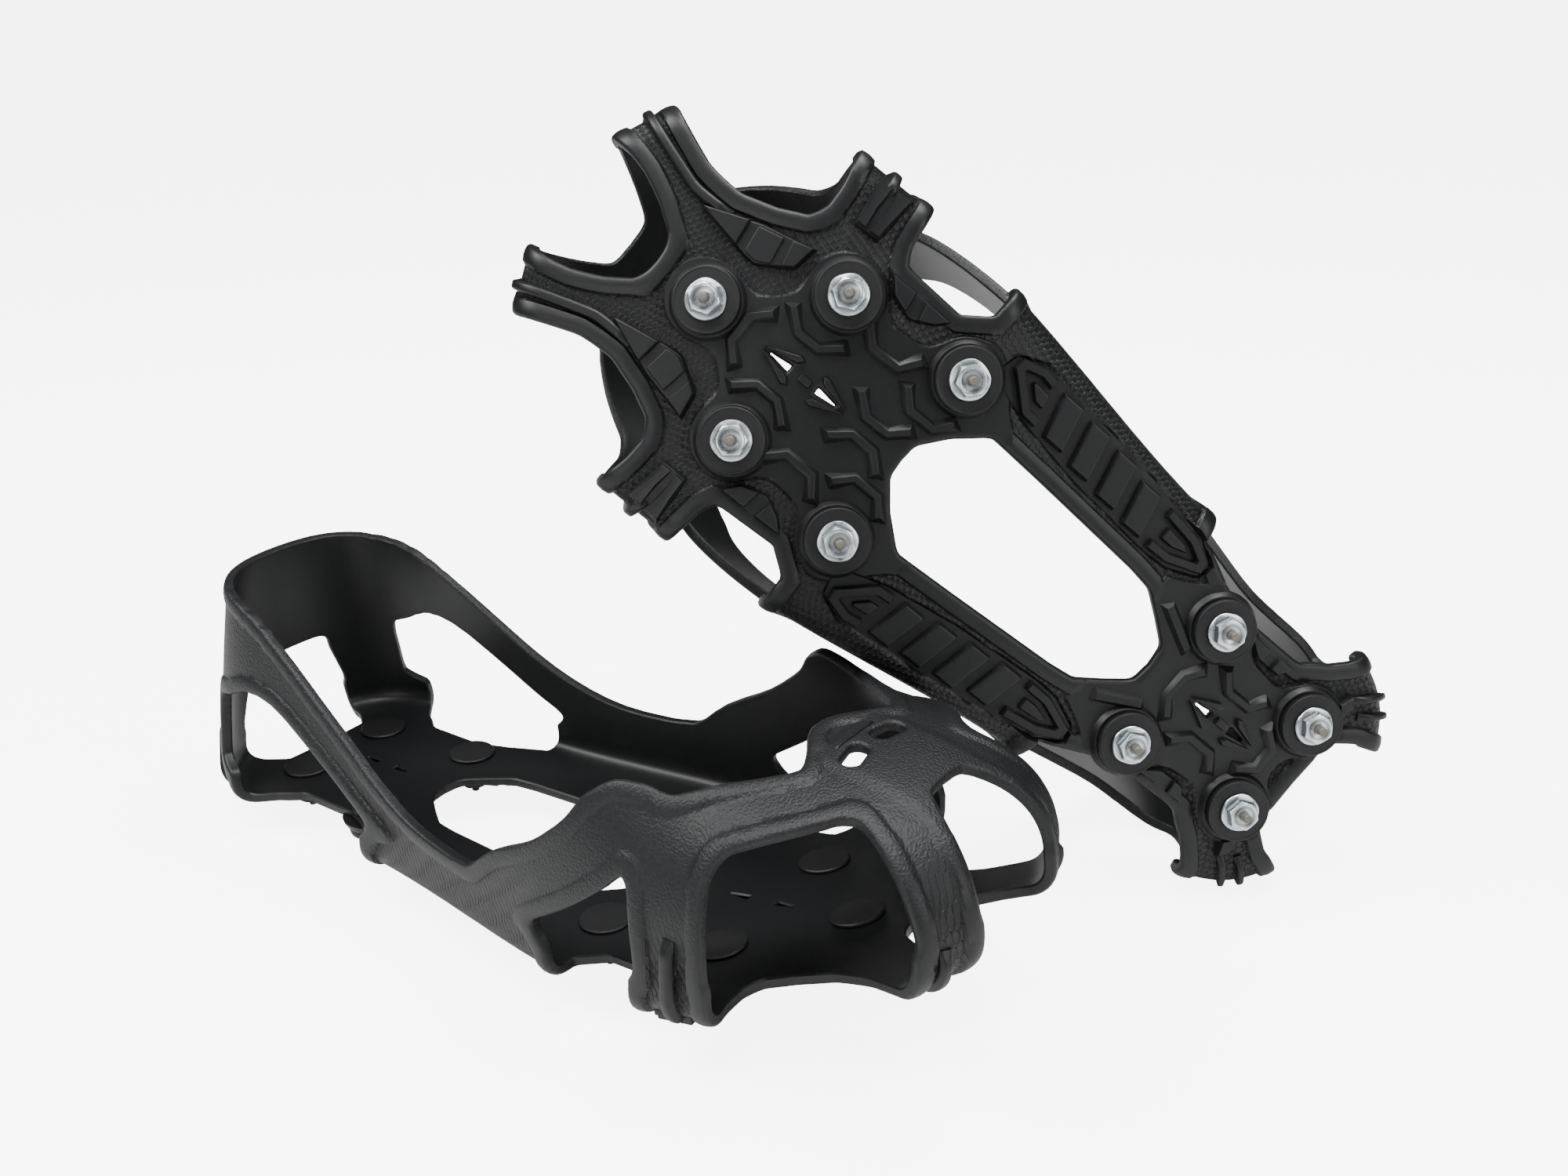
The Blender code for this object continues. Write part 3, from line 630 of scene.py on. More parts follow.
def bar(body, path, base, top, high, low=-1.4, reach=2.0, both=True, flare=1.45, point=1.7):
    """Raised strip along a plan path. Its section is a trapezoid, base wide and top narrow, with a
    small step at each end of the crown; the ends slope down and stand wider than the strip, cut
    at an angle so that the outer side of the bend reaches further."""
    path = np.asarray(path, float)
    for side in ((1, -1) if both else (1,)):
        line = path * [1, side]
        step = unit(np.diff(line, axis=0))
        across = np.stack([-step[:, 1], step[:, 0]], 1)
        mitre = np.concatenate([across[:1], across[:-1] + across[1:], across[-1:]])
        mitre[1:-1] /= (mitre[1:-1] ** 2).sum(1, keepdims=True) / 2
        bend = math.copysign(1.0, step[0, 0] * step[-1, 1] - step[0, 1] * step[-1, 0])
        wide = np.full((len(line), 1), base)
        wide[[0, -1]] *= flare
        foot = line.copy()
        foot[0] -= step[0] * reach
        foot[-1] += step[-1] * reach
        rows = []
        for sign in (-bend, bend):
            low_edge = foot + mitre * wide * sign
            if sign == -bend:
                low_edge[0] -= step[0] * point
                low_edge[-1] += step[-1] * point
            crown = line + mitre * top * sign
            row = ((low_edge, low), (crown * 0.9 + low_edge * 0.1, high - 0.12),
                   (crown, high), (crown * 0.93 + line * 0.07, high))
            rows += row if sign == -bend else row[::-1]
        points = []
        for plan, height in rows:
            seat, normal = under_web(plan)
            points.append(seat + normal * height)
        n, m = len(line), len(rows)
        index = np.arange(n * m).reshape(m, n)
        nxt = np.roll(index, -1, 0)
        quads = np.stack([index[:, :-1], index[:, 1:], nxt[:, 1:], nxt[:, :-1]], -1).reshape(-1, 4)
        faces = quads.tolist() + [index[:, 0].tolist(), index[::-1, -1].tolist()]
        pts = np.concatenate(points)
        body.add(pts, outward(pts, faces))


def ridge(body, path, half, high, both=True, lead=4.0, spacing=1.5, low=-0.6):
    """Rounded ridge along a line laid on the harness: half width and height, its section a raised
    cosine with a flat crown, run out to nothing over the lead at both ends."""
    path = np.asarray(path, float)
    run = np.concatenate([[0.0], np.cumsum(np.linalg.norm(np.diff(path, axis=0), axis=1))])
    at = np.linspace(0.0, run[-1], max(6, int(run[-1] / spacing)))
    line = np.stack([np.interp(at, run, path[:, k]) for k in range(3)], -1)
    seat, normal = drape(line)
    for _ in range(3):
        seat[1:-1] = 0.25 * seat[:-2] + 0.5 * seat[1:-1] + 0.25 * seat[2:]
        normal[1:-1] = 0.25 * normal[:-2] + 0.5 * normal[1:-1] + 0.25 * normal[2:]
    normal = unit(normal)
    across = unit(np.cross(normal, np.gradient(seat, axis=0)))
    s = np.array([-1.0, -0.92, -0.72, -0.55, -0.3, 0.0, 0.3, 0.55, 0.72, 0.92, 1.0])
    h = np.array([0.0, 0.12, 0.8, 0.95, 1.0, 1.0, 1.0, 0.95, 0.8, 0.12, 0.0])
    fade = smoothstep(np.minimum(at, at[-1] - at) / lead)[:, None]
    height = low + (high - low) * h[None] * fade
    top = (seat[:, None] + across[:, None] * (s[None, :, None] * half)
           + normal[:, None] * height[..., None])
    under = top[:, [0, -1]] - normal[:, None] * 0.8
    add_lofted(body, np.concatenate([top, under[:, ::-1]], 1), both)


def lug(body, outline, high, both=True, slope=0.6, soft=0.4, low=-1.2):
    """Block on a curved part of the harness: each corner (x, y, z) of its outline is laid on the
    outer face and raised along the mean normal."""
    seat, normal = drape(outline)
    mean = unit(normal.mean(0))
    centre = seat.mean(0)
    rings = []
    for drawn, height in ((0.0, low), (slope, high - soft), (slope + soft, high),
                          (slope + soft + 0.12, high)):
        away = seat - centre
        length = np.linalg.norm(away, axis=1, keepdims=True)
        rings.append(centre + away * (1 - drawn / length) + (0.4 * normal + 0.6 * mean) * height)
    add_lofted(body, rings, both)


def collars(body, turns=64):
    """Round bosses under the web at the studs: a profile of radius and height turned about each
    stud's axis."""
    profile = np.array([(12.4, -1.2), (12.1, 0.1), (12.0, 0.2), (11.1, 1.8), (11.0, 1.92),
                        (10.85, 1.96), (10.7, 1.96), (10.4, 1.96), (4.6, 1.96),
                        (4.5, -1.0)])
    angle = np.linspace(0.0, 2 * math.pi, turns, endpoint=False)
    for x, y in STUDS.values():
        origin, axis, side, up = stud_axes(x, y)
        ring = (side[None] * np.cos(angle)[:, None] + up[None] * np.sin(angle)[:, None])
        pts = (origin + ring[:, None] * profile[None, :, :1]
               + axis[None, None] * profile[None, :, 1:])
        n, m = pts.shape[:2]
        index = np.arange(n * m).reshape(n, m)
        nxt, up_ = np.roll(index, -1, 0), np.roll(index, -1, 1)
        quads = np.stack([index, nxt, np.roll(nxt, -1, 1), up_], -1).reshape(-1, 4).tolist()
        flat = pts.reshape(-1, 3)
        body.add(flat, outward(flat, quads))


def stud_axes(x, y):
    """Point of the web's outer face at a stud, the outward axis there and two directions
    square to it."""
    seat, normal = under_web([(x, y)])
    axis = normal[0]
    up = np.array([0.0, 1.0, 0.0])
    return seat[0], axis, unit(np.cross(up, axis)), up


# blocks of the web's left half, each with its crown's height, slope, rounding and outline
BLOCKS = (
    # beside the toe stud: a low bed with two raised ends and a middle
    (0.7, 0.9, 1.4, ((107.5, 33.5), (109.0, 24.0), (119.5, 17.0), (123.5, 17.2), (143.5, 21.0),
                     (142.0, 22.8), (125.0, 29.5))),
    (2.1, 0.9, 0.8, ((107.5, 33.5), (109.0, 24.0), (113.5, 20.9), (115.8, 31.2))),
    (2.1, 0.9, 0.8, ((126.5, 17.8), (143.5, 21.0), (142.0, 22.8), (127.8, 28.4))),
    (1.45, 0.7, 0.8, ((116.8, 30.2), (115.2, 20.4), (119.8, 17.9), (124.9, 18.3), (126.2, 28.0))),
    # at the ball's outer edge
    (0.4, 0.8, 1.6, ((61.5, 42.0), (66.5, 37.2), (73.3, 33.8), (81.7, 36.4), (86.8, 42.4),
                     (74.0, 42.6))),
    (1.9, 0.8, 0.8, ((61.5, 42.0), (66.5, 37.2), (71.8, 34.5), (73.3, 42.4))),
    (1.9, 0.8, 0.8, ((75.0, 34.3), (81.7, 36.4), (86.8, 42.4), (76.2, 42.5))),
    # at the heel
    (0.5, 0.8, 1.2, ((-99.0, 29.2), (-95.0, 23.3), (-85.0, 23.3), (-76.5, 29.2))),
    (2.0, 0.8, 0.8, ((-99.0, 29.2), (-95.0, 23.3), (-90.2, 23.3), (-90.8, 29.2))),
    (2.0, 0.8, 0.8, ((-87.4, 29.2), (-88.0, 23.3), (-85.0, 23.3), (-76.5, 29.2))),
)
# angled strips of the left half, and those that cross the middle line
STRIPS = (((42.5, 18.3), (46.7, 13.3), (55.8, 13.3), (60.8, 18.3)),
          ((51.7, 8.3), (56.7, 3.4), (65.0, 3.4), (70.8, 8.3)),
          ((62.5, 26.7), (66.7, 20.8), (76.7, 20.8), (81.7, 25.8)),
          ((83.3, 15.0), (89.0, 10.0), (96.7, 10.0), (102.5, 15.0)),
          ((-98.0, 14.4), (-94.5, 9.6), (-85.5, 9.6), (-80.5, 14.4)))
MIDDLE_STRIPS = (((106.0, -9.6), (111.0, -4.6), (111.0, 4.6), (106.0, 9.6)),
                 ((-105.0, 8.4), (-110.8, 4.2), (-110.8, -4.2), (-105.0, -8.4)),
                 ((-74.0, 9.4), (-70.0, 4.2), (-70.0, -4.2), (-74.0, -9.4)))
# the ladder beside the waist window: bars (x, y from, y to), U-shaped caps and the caps' hearts
LADDER_BARS = ((14.4, 33.0, 48.6), (2.0, 31.2, 47.6), (-10.8, 29.8, 46.2), (-23.4, 28.4, 43.8))
CAPS = (((22.4, 35.4), (27.2, 35.8), (37.0, 44.4), (36.6, 46.8), (30.2, 48.6), (25.6, 47.8)),
        ((-32.0, 29.6), (-39.6, 29.8), (-50.2, 33.6), (-49.6, 36.2), (-42.6, 39.4), (-31.0, 41.0)))
CAP_HEARTS = (((23.2, 39.4), (27.0, 39.8), (31.4, 43.8), (30.6, 45.0), (24.2, 44.4)),
              ((-33.4, 33.0), (-38.6, 33.0), (-44.6, 34.8), (-41.6, 36.8), (-33.4, 37.6)))
LADDER_LOW = -2.6


def tread(body):
    """Everything moulded on the sole's outer face, left half mirrored to the right."""
    for high, slope, round_by, outline in BLOCKS:
        block(body, outline, high, slope, round_by=round_by)
    for path in STRIPS:
        bar(body, path, 2.6, 0.75, 2.2)
    for path in MIDDLE_STRIPS:
        bar(body, path, 2.6, 0.75, 2.2, both=False)
    bar(body, ((-64.5, 11.5), (-50.5, 18.4)), 2.2, 1.1, 1.9, reach=1.2)
    # paired blades along the through holes, and a small cube between them
    for tip, wide in ((70.5, 82.5), (102.5, 90.0), (-104.5, -94.2), (-76.5, -87.6)):
        d = math.copysign(1.0, wide - tip)
        blade = ((tip, 0.45), (wide - 1.6 * d, 5.6), (wide + 0.8 * d, 4.6), (wide - 1.2 * d, 2.3))
        block(body, blade, 2.2, 0.45, -1.0, 0.3, round_by=0.4)
    for x in (86.3, -91.0):
        block(body, ((x - 2.4, -1.5), (x + 2.4, -1.5), (x + 2.4, 1.5), (x - 2.4, 1.5)), 1.7, 0.3,
              -1.0, 0.3, both=False, round_by=0.4)
    for x, y0, y1 in LADDER_BARS:
        block(body, ((x - 5.4, y0), (x + 3.6, y0), (x + 7.2, y1), (x - 1.8, y1)), 0.45, 0.9,
              LADDER_LOW, 0.4, round_by=0.6)
    for path in CAPS:
        bar(body, path, 1.9, 1.15, 0.45, LADDER_LOW, 0.5, flare=1.0, point=0.4)
    for outline in CAP_HEARTS:
        block(body, outline, -0.2, 0.5, LADDER_LOW, 0.3, round_by=0.6)


def strap_details(body):
    """Ribs and lugs on the straps, the step ridges of the rails, and the toe tab's border."""
    # middle rib of the toe strap, from the sole up the side
    ridge(body, ((136, 24.5, 10), (148, 24.5, 18), (158, 28, 23), (166, 31, 28), (171, 33, 34),
                 (172, 33, 42)), 1.9, 1.5)
    # border line of the toe tab's plaque, and the fold line in front of its slots
    ridge(body, ((121.5, 10.5, 74), (121.5, 0, 75), (121.5, -10.5, 74)), 0.7, 0.5, both=False,
          lead=1.5, spacing=1.0, low=-0.5)
    # lug in two parts on a low bed at the foot of the side strap, and the rib above it
    x = 100.0
    lug(body, ((x - 4.6, 46.0, 6), (x - 5.6, 53, 7), (x - 6.4, 61, 10), (x + 6.4, 61, 10),
               (x + 5.6, 53, 7), (x + 4.6, 46.0, 6)), 0.7, slope=0.4, soft=0.3)
    for y0, y1 in ((-5.2, -0.9), (0.9, 5.2)):
        lug(body, ((x + y0 * 0.8, 46.5, 6), (x + y0 * 1.0, 53, 7), (x + y0 * 1.15, 60.5, 10),
                   (x + y1 * 1.15, 60.5, 10), (x + y1 * 1.0, 53, 7), (x + y1 * 0.8, 46.5, 6)),
            1.8, slope=0.5)
    ridge(body, ((101, 58, 7), (101.5, 61, 10), (102, 63, 18), (102, 63, 28), (102, 62, 36)),
          2.2, 1.6)
    # heel straps: bracket-shaped lug and two ribs
    lug(body, ((-123.0, 25.0, 4), (-118.5, 29.5, 4), (-121.0, 35.0, 4), (-124.5, 31.5, 4)), 1.2)
    for shift in (-2.6, 2.6):
        ridge(body, ((-125 + shift, 32 + shift * 0.6, 4), (-133 + shift, 38 + shift * 0.8, 5),
                     (-139 + shift * 0.6, 41 + shift, 10), (-140, 40 + shift, 18),
                     (-139.5, 38 + shift, 26)), 1.3, 1.1)


def to_world(cleat):
    """Matrix from a cleat's frame in mm to the world in metres. The heel sling's joint gives its
    place: the hinge is a known point of the cleat frame."""
    turn = Matrix() if cleat == "front" else Euler(LEAN_TURN).to_matrix().to_4x4()
    joint = next(j for j in frame["joints"] if j["name"] == cleat + "_sling_stretch")
    hinge = Vector(joint["pos_m"])
    origin = hinge - turn @ (Vector(SLING_HINGE) * MM)
    return Matrix.Translation(origin) @ turn @ Matrix.Scale(MM, 4)


def make_piece(name, body, matrix, material, crease=None):
    """Mesh object in world metres whose points also keep their cleat frame place and zones."""
    pts = np.concatenate(body.points)
    place = np.array(matrix)
    world = pts @ place[:3, :3].T + place[:3, 3]
    mesh = bpy.data.meshes.new(name)
    mesh.from_pydata(world, [], body.faces)
    mesh.update()
    local = mesh.attributes.new("local", "FLOAT_VECTOR", "POINT")
    local.data.foreach_set("vector", pts.astype(np.float32).ravel())
    zones = np.concatenate(body.zones)
    # on a stud the scales attribute carries painted shade for the zinc, not fish scales
    for k, label in enumerate(("scales", "pebble")):
        layer = mesh.attributes.new(label, "FLOAT", "POINT")
        layer.data.foreach_set("value", zones[:, k].astype(np.float32))
    mesh.polygons.foreach_set("use_smooth", np.ones(len(mesh.polygons), bool))
    if crease:
        mesh.set_sharp_from_angle(angle=math.radians(crease))
    mesh.materials.append(material)
    obj = bpy.data.objects.new(name, mesh)
    bpy.context.collection.objects.link(obj)
    return obj


# ------------------------------------------------------------------ studs

def turned(rows, turns):
    """Rows of radius and height turned about an axis. A radius or height may be an array over the
    angle, for a hexagon. The first and last rows have radius 0."""
    angle = np.linspace(0.0, 2 * math.pi, turns, endpoint=False)
    rings = []
    for radius, height in rows:
        r, z = np.broadcast_to(radius, turns), np.broadcast_to(height, turns)
        rings.append(np.stack([r * np.cos(angle), r * np.sin(angle), z], -1))
    points, faces = lofted(rings)
    return points, outward(points, faces)


def seated(flat, x, y, spin=0.0):
    """Turned points set on the web at a stud: height is outwards along the stud's axis."""
    origin, axis, side, up = stud_axes(x, y)
    c, s = math.cos(spin), math.sin(spin)
    a, b = flat[:, :1] * c - flat[:, 1:2] * s, flat[:, :1] * s + flat[:, 1:2] * c
    return origin + a * side + b * up + flat[:, 2:] * axis


def base_rows():
    """Spool: neck through the web, flat disc below it with a thin chamfered rim, flange above."""
    return ((0.0, -4.7), (8.2, -4.7), (8.6, -4.3), (8.6, -3.7), (8.3, -3.5), (4.1, -3.5),
            (4.1, 2.5), (9.9, 2.5), (10.3, 2.75), (10.4, 3.1), (10.4, 4.6), (10.32, 4.82),
            (10.15, 4.96), (9.9, 5.0), (9.7, 4.98), (9.55, 4.9), (9.4, 4.88), (9.1, 4.88),
            (7.1, 4.88), (6.9, 4.88), (6.6, 4.8), (0.0, 4.8))


def stud_painted_shade(rows):
    """Painted shade of each row of the stud, which darkens the zinc's colour: 1 on the hexagon's
    sides and its foot, a painted dark reflection of the surround, and 0.8 in a ring at the pin's
    foot, a painted shade in the dimple.
    """
    foot, crown, core, pin = 6.25, 9.36, 3.0, 1.7
    return [(1.0 if foot < np.max(height) < crown and np.min(radius) > core else
             0.8 if 0.0 < np.max(radius) < pin else 0.0) for radius, height in rows]


def stud_rows(angle, rng):
    """Flange with a slightly uneven rim, hexagon with a 30 degree chamfer, and a small dimple
    round the pin."""
    hexagon = 4.5 / np.cos((angle + math.pi / 6) % (math.pi / 3) - math.pi / 6)
    phases = rng.uniform(0, 2 * math.pi, 4)
    wave = sum(0.045 * np.sin((k + 3) * angle + p) for k, p in enumerate(phases))
    rim = 6.4 + wave
    chamfer = 9.5 - np.maximum(0.0, hexagon - 4.42) * 0.62
    return ((0.0, 4.85), (rim - 0.5, 4.95), (rim - 0.12, 5.15), (rim, 5.45), (rim, 5.75),
            (rim - 0.18, 6.0), (rim - 0.5, 6.12), (hexagon + 0.35, 6.3), (hexagon + 0.08, 6.42),
            (hexagon, 6.7), (hexagon, chamfer - 0.12), (hexagon - 0.08, chamfer),
            (np.minimum(hexagon, 4.42) - 0.02, 9.44), (4.2, 9.52), (3.9, 9.5), (3.2, 9.25),
            (2.1, 9.15), (1.6, 9.0), (0.0, 9.0))


def pin_rows():
    """Pin with a worn, rounded end."""
    a = np.radians(np.arange(0, 91, 15))
    rows = [(0.0, 7.7), (1.42, 7.7), (1.42, 9.0), (1.4, 10.4), (1.42, 11.6)]
    rows += [(0.9 + 0.52 * math.cos(t), 11.9 + 0.5 * math.sin(t)) for t in a]
    return tuple(rows + [(0.5, 12.44), (0.0, 12.46)])


# ------------------------------------------------------------------ materials

class Wire:
    """A socket of a material's nodes. Arithmetic on it adds Math nodes."""

    def __init__(self, tree, socket=None):
        self.tree, self.socket = tree, socket

    def node(self, kind, settings=(), inputs=(), output=0):
        """Adds a node. Settings come first (stops are a colour ramp's), then the inputs' values
        or links. Gives one of its outputs."""
        made = self.tree.nodes.new(kind)
        for key, value in dict(settings).items():
            if key == "stops":
                ramp_ = made.color_ramp
                while len(ramp_.elements) < len(value):
                    ramp_.elements.new(0.5)
                for element, (at, colour) in zip(ramp_.elements, value):
                    element.position = at
                    element.color = (*colour, 1.0) if len(colour) == 3 else colour
            else:
                setattr(made, key, value)
        for key, value in dict(inputs).items():
            if isinstance(value, Wire):
                self.tree.links.new(value.socket, made.inputs[key])
            else:
                made.inputs[key].default_value = value
        return Wire(self.tree, made.outputs[output])

    def math(self, operation, a, b=0.0):
        return self.node("ShaderNodeMath", {"operation": operation}, {0: a, 1: b})

    def __add__(self, other):
        return self.math("ADD", self, other)

    __radd__ = __add__

    def __sub__(self, other):
        return self.math("SUBTRACT", self, other)

    def __rsub__(self, other):
        return self.math("SUBTRACT", other, self)

    def __mul__(self, other):
        return self.math("MULTIPLY", self, other)

    __rmul__ = __mul__

    def step(self, low, high):
        """0 to 1 as this value goes from low to high, smoothly."""
        return self.node("ShaderNodeMapRange", {"interpolation_type": "SMOOTHSTEP"},
                         {"Value": self, "From Min": low, "From Max": high})


def new_material(name):
    """A material with its Principled shader; gives the material, a wire and the shader."""
    made = bpy.data.materials.new(name)
    made.use_nodes = True
    tree = made.node_tree
    shader = tree.nodes["Principled BSDF"]
    return made, Wire(tree), shader


def connect(wire, shader, **sockets):
    for key, value in sockets.items():
        name = key.replace("_", " ")
        if isinstance(value, Wire):
            wire.tree.links.new(value.socket, shader.inputs[name])
        else:
            shader.inputs[name].default_value = value


def attribute(wire, name, output=2):
    """A stored value of the mesh; output 1 is a vector, output 2 a number."""
    return wire.node("ShaderNodeAttribute", {"attribute_name": name}, (), output)


def noise(wire, vector, scale, detail=2.0, rough=0.5):
    return wire.node("ShaderNodeTexNoise", {}, {"Vector": vector, "Scale": scale,
                                                "Detail": detail, "Roughness": rough})


def bumped(wire, strength, height):
    """Normal bent by a height in millimetres."""
    return wire.node("ShaderNodeBump", {},
                     {"Strength": strength, "Distance": MM, "Height": height})


def mix_colour(wire, share, a, b):
    return wire.node("ShaderNodeMix", {"data_type": "RGBA"}, {0: share, 6: a, 7: b}, 2)


def rubber(name):
    """Moulded black rubber: satin plates, fish scales in the recesses, pebble grain on the straps,
    a little pale dust caught in the grain. Works in the cleat's own millimetres."""
    made, w, shader = new_material(name)
    place = attribute(w, "local", 1)
    scales, pebble = attribute(w, "scales"), attribute(w, "pebble")
    split = w.node("ShaderNodeSeparateXYZ", {}, {0: place}).socket.node
    x, y, z = (Wire(w.tree, socket) for socket in split.outputs)
    # scales: rows 1.7 mm apart, each row's edge a chain of arcs 2.6 mm wide, every second row
    # shifted by half an arc, and each scale rising towards its free edge
    wobble = noise(w, place, 0.35, 1.0) - 0.5
    side = y.math("ABSOLUTE", y)
    across = (side * 0.94 + x * 0.34 + wobble * 1.2 + z * 0.5) * (1 / 2.6)
    rows = (x * 0.94 - side * 0.34 + wobble * 1.0 + z * 0.3) * (1 / 1.7)
    odd = rows.math("MODULO", rows.math("FLOOR", rows + 400.0), 2.0) * 0.5
    arc = across.math("PINGPONG", across + odd, 0.5) * 2.0
    edge = rows + arc * arc * 0.55
    rise = edge.math("FRACT", edge + 400.0)
    fish = rise * (1.0 - rise.step(0.86, 1.0))
    # pebble grain: cells about 0.7 mm, softened
    cells = w.node("ShaderNodeTexVoronoi", {"feature": "SMOOTH_F1"},
                   {"Vector": place, "Scale": 1.25, "Smoothness": 0.6}, 0)
    grain = noise(w, place, 2.2, 2.0, 0.55)
    fine = noise(w, place, 5.0, 2.0, 0.6)
    height = (scales * fish * 0.48 + pebble * (cells * -0.16 + grain * 0.10)
              + (1.0 - pebble) * fine * 0.018 + (1.0 - pebble) * (1.0 - scales) * grain * 0.012)
    broad = noise(w, place, 0.03, 3.0)
    dust = noise(w, place, 1.6, 3.0, 0.7).step(0.66, 0.80)
    base = mix_colour(w, broad, (0.0036, 0.0039, 0.0044, 1), (0.0062, 0.0067, 0.0075, 1))
    base = mix_colour(w, pebble * 0.75, base, (0.0062, 0.0068, 0.0078, 1))
    base = mix_colour(w, dust * 0.10, base, (0.22, 0.21, 0.20, 1))
    rough = 0.40 + pebble * 0.06 + scales * 0.05 + broad * 0.10 + fine * 0.05 - 0.05
    connect(w, shader, Base_Color=base, Roughness=rough, Normal=bumped(w, 1.0, height),
            Specular_IOR_Level=0.36)
    return made


def plastic(name):
    """Moulded black plastic of the stud bases: matt, with fine turning marks and dust."""
    made, w, shader = new_material(name)
    place = attribute(w, "local", 1)
    fine = noise(w, place, 3.5, 3.0, 0.6)
    broad = noise(w, place, 0.12, 2.0)
    dust = noise(w, place, 2.3, 2.0, 0.7).step(0.68, 0.80)
    base = mix_colour(w, broad, (0.0045, 0.0047, 0.0052, 1), (0.0080, 0.0083, 0.0090, 1))
    base = mix_colour(w, dust * 0.16, base, (0.25, 0.25, 0.25, 1))
    connect(w, shader, Base_Color=base, Roughness=0.46 + broad * 0.12,
            Normal=bumped(w, 0.6, fine * 0.03), Specular_IOR_Level=0.35)
    return made


def zinc(name):
    """Bright zinc plate: bluish white with a fine spangle, duller patches and small scratches.
    The attribute "scales" holds the stud's painted shade here: a painted dark reflection on the
    hexagon's sides and a painted shade in a ring at the pin's foot."""
    made, w, shader = new_material(name)
    place = attribute(w, "local", 1)
    spangle = w.node("ShaderNodeTexVoronoi", {"feature": "F1"}, {"Vector": place, "Scale": 1.1}, 1)
    tone = w.node("ShaderNodeSeparateColor", {}, {0: spangle}, 0)
    patch = noise(w, place, 0.55, 4.0, 0.65)
    scratch = noise(w, w.node("ShaderNodeMapping", {}, {"Vector": place, "Scale": (0.6, 7.0, 1.5)}),
                    1.2, 3.0, 0.7)
    base = mix_colour(w, patch.step(0.35, 0.7), (0.58, 0.63, 0.66, 1), (0.72, 0.77, 0.80, 1))
    base = mix_colour(w, patch.step(0.60, 0.72) * 0.5, base, (0.42, 0.47, 0.50, 1))
    # painted shade: the scales attribute darkens the hexagon's sides and a ring at the pin's foot
    base = mix_colour(w, attribute(w, "scales") * 0.85, base, (0.15, 0.17, 0.18, 1))
    rough = 0.16 + patch * 0.16 + tone * 0.06 + scratch * 0.06
    connect(w, shader, Base_Color=base, Roughness=rough, Metallic=0.92,
            Normal=bumped(w, 0.5, scratch * 0.05 + patch * 0.05))
    return made


def carbide(name):
    """Ground grey-brown hard metal with a dull, pitted face."""
    made, w, shader = new_material(name)
    place = attribute(w, "local", 1)
    pits = noise(w, place, 3.0, 4.0, 0.7)
    stain = noise(w, place, 0.9, 2.0)
    base = mix_colour(w, stain, (0.12, 0.108, 0.092, 1), (0.24, 0.22, 0.19, 1))
    connect(w, shader, Base_Color=base, Roughness=0.42 + pits * 0.22, Metallic=0.6,
            Normal=bumped(w, 0.7, pits * 0.10))
    return made


# ------------------------------------------------------------------ the pair

RUBBER = rubber("moulded_rubber")
PLASTIC = plastic("base_plastic")
ZINC = zinc("zinc_plate")
CARBIDE = carbide("hard_pin_metal")

sheet = Body()
harness_sheet(sheet)
collars(sheet)
tread(sheet)
strap_details(sheet)

STUD_TURNS, PIN_TURNS = 72, 32
ANGLE = np.linspace(0.0, 2 * math.pi, STUD_TURNS, endpoint=False)
for number, cleat in enumerate(("front", "leaning")):
    matrix = to_world(cleat)
    harness = make_piece(cleat + "_rubber_harness", sheet, matrix, RUBBER, 42)
    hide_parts(cleat + "_harness", cleat + "_heel_sling")
    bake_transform(harness)
    for count, (name, (x, y)) in enumerate(STUDS.items()):
        rng = np.random.default_rng(100 * number + count)
        spin = rng.uniform(0, math.pi / 3)
        for part, rows, material, slot, crease in (
                ("stud_base", base_rows(), PLASTIC, "base_plastic", 35),
                ("hex_stud", stud_rows(ANGLE, rng), ZINC, "zinc_steel", 28),
                ("carbide_pin", pin_rows(), CARBIDE, "carbide", 50)):
            is_stud = part == "hex_stud"
            flat, faces = turned(rows, PIN_TURNS if part == "carbide_pin" else STUD_TURNS)
            body = Body()
            # painted shade of the hexagon's sides and the pin's foot, carried in the stud's scales
            # zone
            shade = stud_painted_shade(rows) if is_stud else [0.0] * len(rows)
            body.add(seated(flat, x, y, spin if is_stud else 0.0), faces,
                     np.repeat(shade, len(flat) // len(rows)))
            node = "_".join((cleat, name, part))
            piece = make_piece(node + "_finish", body, matrix, material, crease)
            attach(piece, cleat + "_cleat")
            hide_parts(node)


# ------------------------------------------------------------------ floor, light and camera

# what the camera sees of the floor's and the backdrop's own light, and what lights the pair
FLOOR_GLOW, BACKDROP_GLOW, SURROUND_LIGHT = 6.0, 6.5, 0.14
FLOOR_HALF = 40.0
LAMPS = (("key", (-0.6, -0.6, 1.1), (0.0, 0.0, 0.1), (0.5, 0.5), 16.0),
         ("top", (0.2, 0.25, 1.2), (0.05, 0.0, 0.1), (0.6, 0.5), 15.0),
         ("side", (1.1, -0.15, 0.55), (0.05, 0.0, 0.12), (0.3, 0.7), 5.0),
         ("sole", (0.25, -1.2, 0.45), (0.1, 0.0, 0.12), (0.5, 0.3), 3.5),
         ("rake", (0.1, -0.3, 1.0), (0.1, 0.0, 0.15), (0.3, 0.2), 5.0))
YAW, PITCH, ROLL = math.radians(125.91), math.radians(22.37), math.radians(-1.29)
CAMERA_FROM_FRONT = (338.2, -332.0, 286.3)      # mm, from the front cleat's origin
FOCAL_LENGTH, SENSOR_WIDTH = 35.5, 36.0


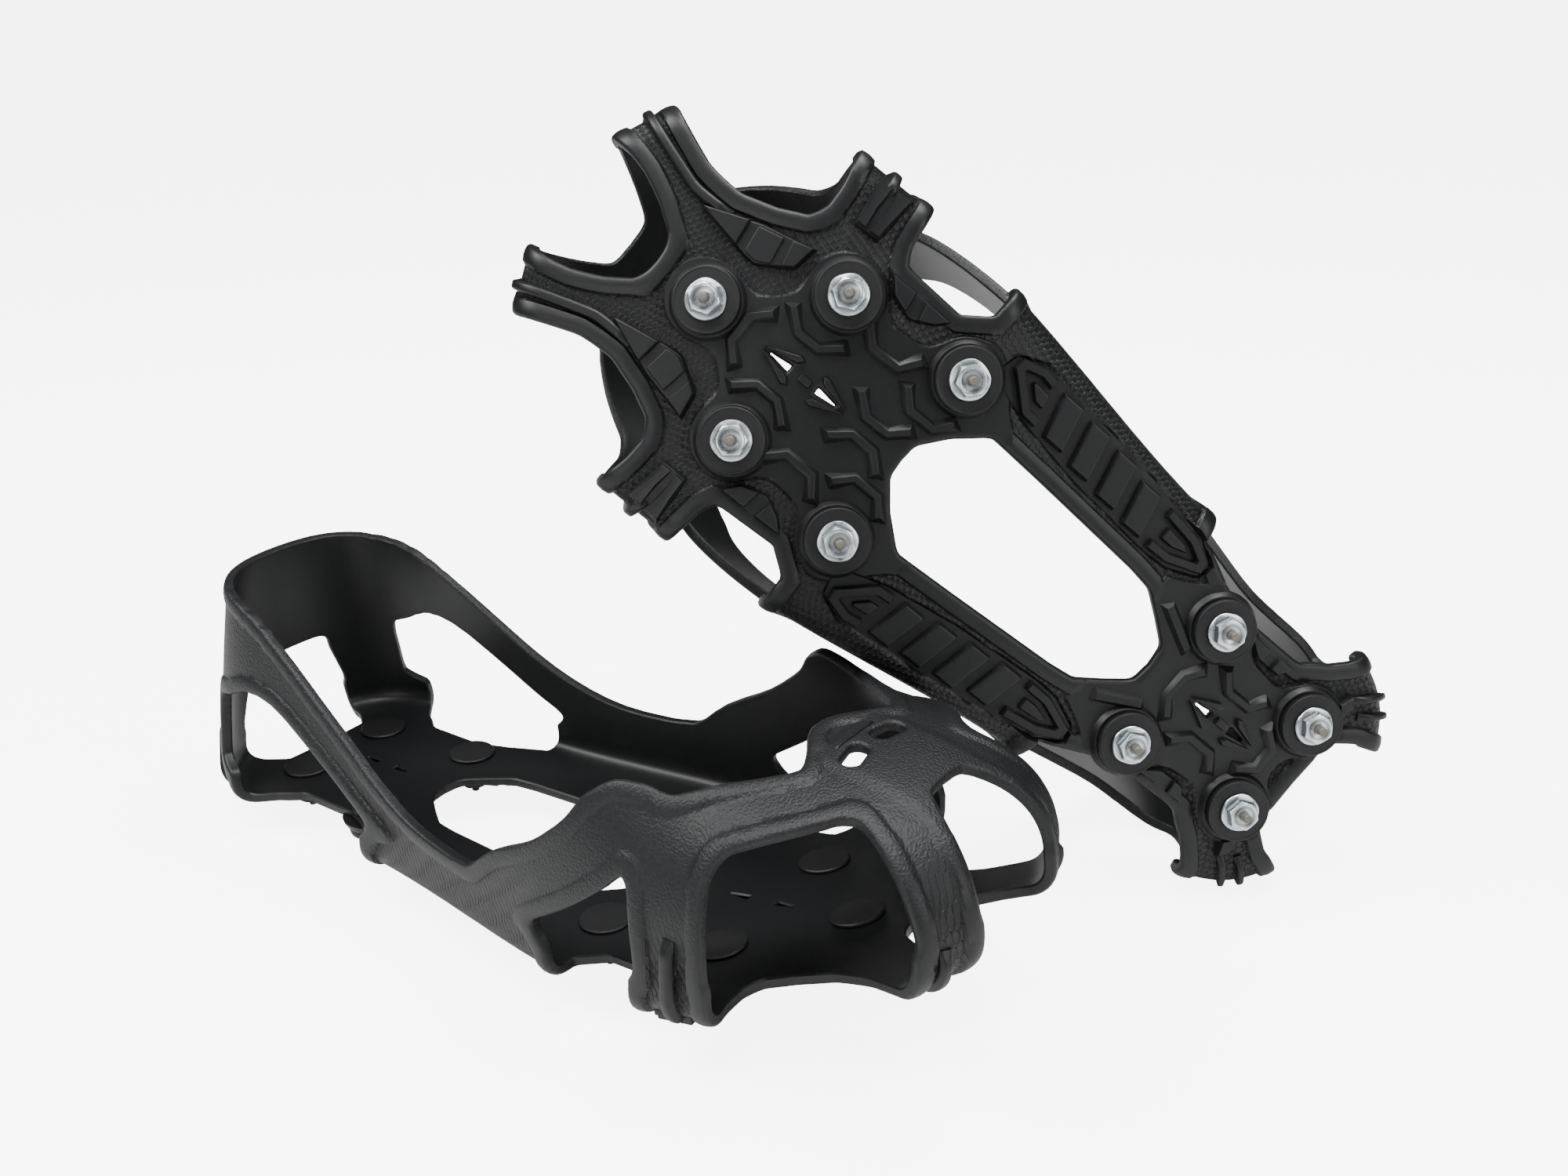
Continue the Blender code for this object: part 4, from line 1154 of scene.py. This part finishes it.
def stage_floor():
    """Wide, flat, plain pale floor that glows towards the camera only."""
    mesh = bpy.data.meshes.new("floor")
    corners = [(x * FLOOR_HALF, y * FLOOR_HALF, 0) for x, y in ((-1, -1), (1, -1), (1, 1), (-1, 1))]
    mesh.from_pydata(corners, [], [(0, 1, 2, 3)])
    floor = bpy.data.objects.new("floor", mesh)
    bpy.context.collection.objects.link(floor)
    made, w, shader = new_material("pale_floor")
    seen = w.node("ShaderNodeLightPath")
    connect(w, shader, Base_Color=(0.86, 0.86, 0.86, 1), Roughness=0.9,
            Emission_Color=(1.0, 1.0, 1.0, 1), Emission_Strength=seen * FLOOR_GLOW)
    mesh.materials.append(made)


def area_light(name, place, target, size, power):
    data = bpy.data.lights.new(name, "AREA")
    data.shape, data.size, data.size_y = "RECTANGLE", *size
    data.energy = power
    lamp = bpy.data.objects.new(name, data)
    lamp.location = place
    lamp.rotation_euler = (Vector(target) - Vector(place)).to_track_quat("-Z", "Y").to_euler()
    bpy.context.collection.objects.link(lamp)


def studio_world():
    """White backdrop, and a softer grey surround that lights the pair, brightest overhead."""
    world = bpy.data.worlds.new("studio")
    world.use_nodes = True
    tree = world.node_tree
    shade = tree.nodes["Background"]
    shade.inputs[0].default_value = (1.0, 1.0, 1.0, 1.0)
    w = Wire(tree)
    up_axis = w.node("ShaderNodeSeparateXYZ", {}, {0: w.node("ShaderNodeTexCoord")}, 2)
    seen = w.node("ShaderNodeLightPath")
    lit = (up_axis.step(-0.1, 0.9) * 0.8 + 0.2) * SURROUND_LIGHT
    tree.links.new((seen * BACKDROP_GLOW + (1.0 - seen) * lit).socket, shade.inputs[1])
    bpy.context.scene.world = world


stage_floor()
studio_world()
for lamp in LAMPS:
    area_light(*lamp)

ahead = Vector((math.cos(YAW) * math.cos(PITCH), math.sin(YAW) * math.cos(PITCH),
                -math.sin(PITCH)))
right = Vector((math.sin(YAW), -math.cos(YAW), 0.0))
up = right.cross(ahead)
right, up = (right * math.cos(ROLL) + up * math.sin(ROLL),
             up * math.cos(ROLL) - right * math.sin(ROLL))
turn = Matrix((right, up, -ahead)).transposed().to_4x4()
lens = bpy.data.cameras.new("camera")
lens.lens, lens.sensor_width = FOCAL_LENGTH, SENSOR_WIDTH
camera = bpy.data.objects.new("camera", lens)
camera.matrix_world = Matrix.Translation(
    to_world("front").translation + Vector(CAMERA_FROM_FRONT) * MM) @ turn
bpy.context.collection.objects.link(camera)
bpy.context.scene.camera = camera
